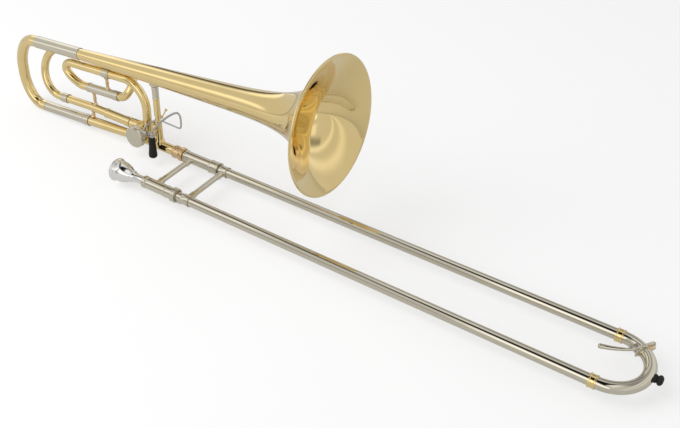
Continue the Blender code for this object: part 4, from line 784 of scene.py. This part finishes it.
lip = [(81, 9), (82, 9.8), (87, 9.8), (88.7, 8.4), (88.7, 8), (111, 8), (111, 7.1), (93.4, 7.1),
       (93.4, 6.9), (81, 6.9)]
fit(turned("receiver_lip", SLIDE, (0, NEAR, 0), X, lip, 96), "body", NICKEL, "mouthpiece_receiver")

# %% Cross braces and lock ring
def cross_brace(name, node, body, x, tube_size):
    """A brace between the two slide tubes, cut to their outsides."""
    reach = tube_size + 9
    half = [(0, 0), (0, 5.4), (reach - 1.2, 5.4), (reach - 1, 5.6), (reach - 0.2, 5.6), (reach, 5.4),
            (reach + 1, 4.8), (reach + 2, 4.5)]
    other = [(92 - distance, size) for distance, size in reversed(half)]
    piece = turned(name, SLIDE, (x, 0, 0), -Y, half + other, 64, False, 0.2)
    for y in (0, NEAR):
        cut(piece, solid_bar("seat", SLIDE, (x - 12, y, 0), X, 24, tube_size + 0.02, 96, 0.0))
    return fit(piece, body, NICKEL, node)


cross_brace("hand_brace", "inner_brace", "body", 103, 9.3)
cross_brace("slide_brace", "outer_brace", "outer_slide", 169, 8.6)
ring = [(0, 10.4), (0.4, 11), (1, 11.6), (3, 11.6), (3.6, 11.2), (5.4, 11.2), (6, 11.6), (8, 11.6), (9, 11),
        (9, 9.6), (0, 9.6)]
lock = turned("locking_ring", SLIDE, (141.5, NEAR, 0), X, ring, 96, True, 0.2)
lug = [(0, 0), (0, 2.8), (1, 3.8), (7.5, 3.8), (9, 2.8), (9, 0)]
fuse(lock, turned("lug", SLIDE, (145.5, -88, -13), X, lug, 48, False))
cut(lock, solid_bar("room", SLIDE, (130, NEAR, 0), X, 40, 9.6, 96, 0.0))
fit(lock, "lock_ring", NICKEL, "slide_lock_ring")

# %% [markdown]
# ## The mouthpiece
# A silver-plated mouthpiece has a wide rounded rim, a cup that narrows in steps, a small bead and a
# tapered shank. Its inside is a bowl that runs into a narrow throat, so the profile runs down the
# outside and back up the inside.

# %% Mouthpiece
outside = [(0, 14.8), (0, 16.6), (0.5, 17.6), (1.6, 18.5), (3.2, 19), (4.6, 18.8), (6, 17.9), (6.8, 17.1),
           (7.6, 16.9), (8.4, 17.1), (9.2, 17), (10, 16.4), (13, 16.6), (16.5, 16.5), (20, 15.8), (24, 14.6),
           (28, 13), (31, 11.5), (34, 9.9), (36, 8.9), (36.8, 9.4), (38.4, 9.4), (39.2, 8.6), (41, 7.9), (43, 7.6),
           (47, 6.9), (58, 6.5), (73.5, 6.15)]
inside = [(73.5, 5.2), (45, 3.9), (31, 3.3), (28, 3.7), (26, 4.6), (24, 5.9), (22, 7.3), (18.5, 9.3),
          (15, 10.7), (11, 11.7), (7, 12.4), (3, 13), (1.4, 13.4), (0.5, 13.9)]
cup = turned("mouthpiece_cup", SLIDE, (19, NEAR, 0), X, outside + inside, 96, True, 0.2)
fit(cup, "cup", SILVER, "mouthpiece")

# %% [markdown]
# ## The outer slide
# The part that the right hand moves: two outer tubes with brass collars, a cross brace, and an end bow in
# two ferrules. At the bow are a rubber tip and a water key that lets condensation out.

# %% Outer tubes, collars, ferrules and end bow
wall = [(0, 7.6), (660.7, 7.6), (660.7, 7.1), (0, 7.1)]
collar = [(162, 8.4), (163, 8.6), (175, 8.6), (175.5, 9.2), (177, 9.2), (177, 7.9), (162, 7.9)]
ferrule = [(0, 9.4), (1.5, 9.4), (2, 9), (7.5, 9), (8, 9.4), (9.5, 9.4), (9.5, 8.4), (0, 8.4)]
for name, y in (("far", 0), ("near", NEAR)):
    fit(turned(f"slide_tube_{name}", SLIDE, (146, y, 0), X, wall, 96), "outer_slide", NICKEL,
        f"outer_tube_{name}")
    fit(turned(f"hand_collar_{name}", SLIDE, (0, y, 0), X, collar, 96), "outer_slide", NICKEL,
        f"slide_collar_{name}")
    fit(turned(f"end_ferrule_{name}", SLIDE, (804.5, y, 0), X, ferrule, 96), "outer_slide", BRASS,
        f"slide_ferrule_{name}")
CENTRE = Vector((814, -46, 0))
bow_path = [(807, 0, 0)] + arc(CENTRE, X * 46, Y * 46, 90, -90, 60) + [(807, NEAR, 0)]
fit(swept("end_bow", SLIDE, bow_path, 8.0, 0.7, 64), "outer_slide", NICKEL, "slide_bow")


def bow_seat(size):
    return swept("seat", SLIDE, bow_path, size, 0.0, 64)


# %% Rubber tip
tip = [(0, 0), (0, 5.6), (9.2, 5.6), (9.7, 5), (10.2, 4.6), (10.8, 4.6), (11.2, 5.2), (11.9, 6.2), (13.2, 6.7),
       (14.6, 6.6), (15.8, 5.9), (16.8, 4.8), (17.4, 3.6), (17.6, 2.8), (17.6, 0)]
rubber_tip = turned("slide_tip", SLIDE, (860, -46, 0), X, tip, 72, False, 0.4)
cut(rubber_tip, bow_seat(8.03))
fit(rubber_tip, "outer_slide", RUBBER, "slide_bumper")

# %% Water key
side = math.radians(55)
OUT = Vector((math.cos(side), math.sin(side), 0))
ALONG = Vector((-math.sin(side), math.cos(side), 0))
spout = [(0, 0), (0, 5), (8.4, 5), (9, 4.7), (9.8, 4.2), (12.5, 4.2), (12.5, 0)]
nipple = turned("drain_spout", SLIDE, CENTRE + OUT * 46, OUT, spout, 64, False)
cut(nipple, bow_seat(8.03))
cut(nipple, solid_bar("hole", SLIDE, CENTRE + OUT * 46, OUT, 20, 1.6, 32, 0.0))
fit(nipple, "outer_slide", ROSE, "drain_nipple")
PIVOT = CENTRE + OUT * 31 + Z * 8.5


def block(name, centre, size):
    """A block along the key's own directions, with its edges bevelled."""
    rest()
    bpy.ops.mesh.primitive_cube_add(size=1.0, scale=Vector(size) * MM)
    piece = bpy.context.object
    piece.name = name
    bpy.ops.object.transform_apply(location=True, rotation=True, scale=True)
    bpy.ops.object.mode_set(mode="EDIT")
    bpy.ops.mesh.select_all(action="SELECT")
    bpy.ops.mesh.bevel(offset=0.6 * MM, segments=3, affect="EDGES")
    axes = Matrix((OUT, ALONG, Z)).transposed().to_4x4()
    lay(piece, SLIDE @ Matrix.Translation(Vector(centre) * MM) @ axes)
    return piece


key_saddle = block("key_saddle", PIVOT + OUT * 6 - Z * 5, (8, 15, 7))
for shift in (-6.4, 6.4):
    fuse(key_saddle, block("post", PIVOT + ALONG * shift - Z * 2.7 + OUT * 1.2, (5.6, 2.2, 9.8)))
fuse(key_saddle, solid_bar("pin", SLIDE, PIVOT - ALONG * 8.4, ALONG, 16.8, 1.0, 32))
cut(key_saddle, bow_seat(8.03))
fit(key_saddle, "outer_slide", NICKEL, "water_key_saddle")
fit(coil("key_spring", SLIDE, PIVOT + ALONG, ALONG, 1.75, 0.3, 3, 1.05), "outer_slide", STEEL,
    "water_key_spring")
middle = PIVOT - ALONG * 2.3
drop = middle + OUT * 31.6 + ALONG * 2.3
key = solid_bar("drain_lever", SLIDE, PIVOT - ALONG * 4.9, ALONG, 5.2, 2.5, 48)
path = [middle + OUT, middle + OUT * 8 + Z * 2.2, middle + OUT * 15 + Z * 2.6,
        middle + OUT * 24 + Z * 1.6 + ALONG * 1.2, middle + OUT * 30 - Z + ALONG * 2.3, drop - Z * 5,
        drop - Z * 8.5]
fuse(key, rod("key_arm", SLIDE, smooth_path(path), 1.3))
fuse(key, solid_bar("pad", SLIDE, CENTRE + OUT * 58.8, OUT, 3.2, 3.6, 48))
path = [middle - OUT * back + Z * rise + ALONG * aside for back, rise, aside in
        ((1, 0, 0), (9, 0.2, 3), (18, -1.2, 9), (27, -2.8, 16.5), (36, -3.4, 24))]
sizes = [1.6 + 1.8 * index / 24 for index in range(25)]
fuse(key, rod("key_lever", SLIDE, smooth_path(path), sizes))
cut(key, solid_bar("hole", SLIDE, PIVOT - ALONG * 9, ALONG, 18, 1.3, 32, 0.0))
fit(key, "drain_key", NICKEL, "water_key")

# %% [markdown]
# ## Studio
# Metal shows the room, so the room is most of its finish. The trombone lies on white paper. The paper
# has to look white to the camera and yet shade the metal from below, so only a part of its white is
# light of its own, and reflections get less of that part than the camera does.

# %% Floor
rest()
bpy.ops.mesh.primitive_plane_add(size=60, location=(0, 0, cad_bounds[0][2] - 0.0003))
floor = bpy.context.object
floor.name = "floor"
material, sheet = new_sheet("white_floor")
camera_ray = sheet.add("ShaderNodeLightPath", output="Is Camera Ray")
glossy_ray = sheet.add("ShaderNodeLightPath", output="Is Glossy Ray")
through_ray = sheet.add("ShaderNodeLightPath", output="Is Transmission Ray")
seen = camera_ray + glossy_ray * 0.4 + through_ray
paper = sheet.add("ShaderNodeBsdfDiffuse", {}, {"Color": (0.42, 0.42, 0.42, 1)})
glow = sheet.add("ShaderNodeEmission", {}, {"Color": (0.55, 0.55, 0.55, 1), "Strength": seen})
both = sheet.add("ShaderNodeAddShader", {}, {0: paper, 1: glow})
sheet.add("ShaderNodeOutputMaterial", {}, {"Surface": both})
floor.data.materials.append(material)

# %% [markdown]
# Shiny metal shows the room round it, so the room is hung with a few boards and cloths, as a photographer
# does: a pale board gives a tube its light line, and a dark cloth beside it the thin dark line. Each one is
# a strip with its own light and the softness of its long edges in degrees. Its two ends are given by how
# far along the room they are, from -1 at the left to 1 at the right, and by the angles over the floor
# between which it hangs, 0 being the left side and 180 the right.

# %% Room
world = bpy.data.worlds.new("studio")
world.use_nodes = True
world.node_tree.nodes.clear()
bpy.context.scene.world = world
sheet = Sheet(world.node_tree)
direction = sheet.add("ShaderNodeTexCoord", output="Generated")
along = sheet.add("ShaderNodeSeparateXYZ", {}, {0: direction}, "X")
across = sheet.add("ShaderNodeSeparateXYZ", {}, {0: direction}, "Y")
above = sheet.add("ShaderNodeSeparateXYZ", {}, {0: direction}, "Z")
leftwards = along * -0.74 + across * -0.67
turn = sheet.add("ShaderNodeMath", {"operation": "ARCTAN2"}, {0: above, 1: leftwards})
angle = turn * (180 / math.pi)


def soft_step(value, reach):
    return sheet.add("ShaderNodeMapRange", {"interpolation_type": "SMOOTHSTEP"},
                     {"Value": value, "From Min": -reach, "From Max": reach})


WALL_LIGHT = 0.68
hung = [
    ("low cloth", 0.42, 6, (-0.64, -2, 22), (-0.28, -2, 20)),
    ("long board", 1.5, 6, (-0.27, 24, 53), (0.38, 22, 56)),
    ("left board", 1.22, 6, (-0.79, 3, 18), (-0.49, 38, 62)),
    ("thin board", 1.25, 4, (-0.86, 50, 64), (-0.70, 58, 66)),
    ("left dark cloth", 0.10, 5, (-0.74, 72, 84), (-0.38, 58, 78)),
    ("top dark cloth", 0.01, 4, (-0.38, 58, 70), (0.15, 64, 112)),
    ("top board", 0.95, 4, (-0.37, 79, 93), (-0.24, 88, 97)),
    ("right grey cloth", 0.28, 8, (-0.62, 118, 142), (-0.06, 112, 150)),
    ("right board", 1.08, 8, (-0.62, 150, 182), (-0.26, 158, 182)),
    ("bell board", 0.98, 6, (0.17, 78, 108), (0.42, 78, 104)),
    ("bell cloth", 0.34, 7, (0.02, 106, 127), (0.56, 114, 128)),
    ("bell thin board", 0.95, 5, (0.02, 138, 150), (0.95, 120, 127)),
    ("bell pale board", 0.92, 7, (0.20, 156, 172), (1.10, 146, 156))]
room = WALL_LIGHT
for name, level, soft, (start, low_start, high_start), (finish, low_finish, high_finish) in hung:
    share = (along - start) * (1 / (finish - start))
    over_low = soft_step(angle - (low_start + share * (low_finish - low_start)), soft)
    under_high = soft_step(high_start + share * (high_finish - high_start) - angle, soft)
    strip = over_low * under_high * soft_step(along - start, 0.04) * soft_step(finish - along, 0.04)
    room = room + (level - room) * strip
light = sheet.add("ShaderNodeBackground", {}, {"Color": room, "Strength": 1.0})
sheet.add("ShaderNodeOutputWorld", {}, {"Surface": light})
print("boards and cloths in the room:", len(hung))

# %% [markdown]
# A wide soft lamp above the left side lights the paper and the rubber and gives the soft shadows. Its
# own picture is kept out of the metal, because the room's bright band already stands for it.

# %% Soft lamp
lamp_data = bpy.data.lights.new("wide_soft_lamp", "AREA")
lamp_data.shape = "RECTANGLE"
lamp_data.size = 3.0
lamp_data.size_y = 2.0
lamp_data.energy = 45.0
lamp = bpy.data.objects.new("wide_soft_lamp", lamp_data)
lamp.visible_glossy = False
bpy.context.scene.collection.objects.link(lamp)
away = Vector((-0.45, -0.5, 0.74)).normalized()
lamp.matrix_world = Matrix.Translation(away * 2.6) @ away.to_track_quat("Z", "X").to_matrix().to_4x4()

# %% [markdown]
# ## Camera
# The camera stands in front of the instrument, to the right and above, turned a touch about its own
# axis. It was worked out from the photograph by matching the two slide tubes, the bell's rim and the
# bows.

# %% Camera
around, up_angle, roll = math.radians(37.72), math.radians(35.47), math.radians(-2.07)
target = Vector((0.01711, -0.043245, 0.085685))
sight = Vector((math.sin(around) * math.cos(up_angle), -math.cos(around) * math.cos(up_angle),
                math.sin(up_angle)))
forward = -sight
right = forward.cross(Z).normalized()
above = right.cross(forward)
turned_right = right * math.cos(roll) + above * math.sin(roll)
turned_up = above * math.cos(roll) - right * math.sin(roll)
camera_data = bpy.data.cameras.new("camera")
camera_data.lens = 49.414
camera_data.sensor_width = 36
camera_data.shift_x = 0.0968
camera_data.shift_y = -0.0504
camera = bpy.data.objects.new("camera", camera_data)
bpy.context.scene.collection.objects.link(camera)
facing = Matrix((turned_right, turned_up, sight)).transposed().to_4x4()
camera.matrix_world = Matrix.Translation(target + sight * 1.36502) @ facing
bpy.context.scene.camera = camera
bpy.context.scene.view_settings.view_transform = "Standard"
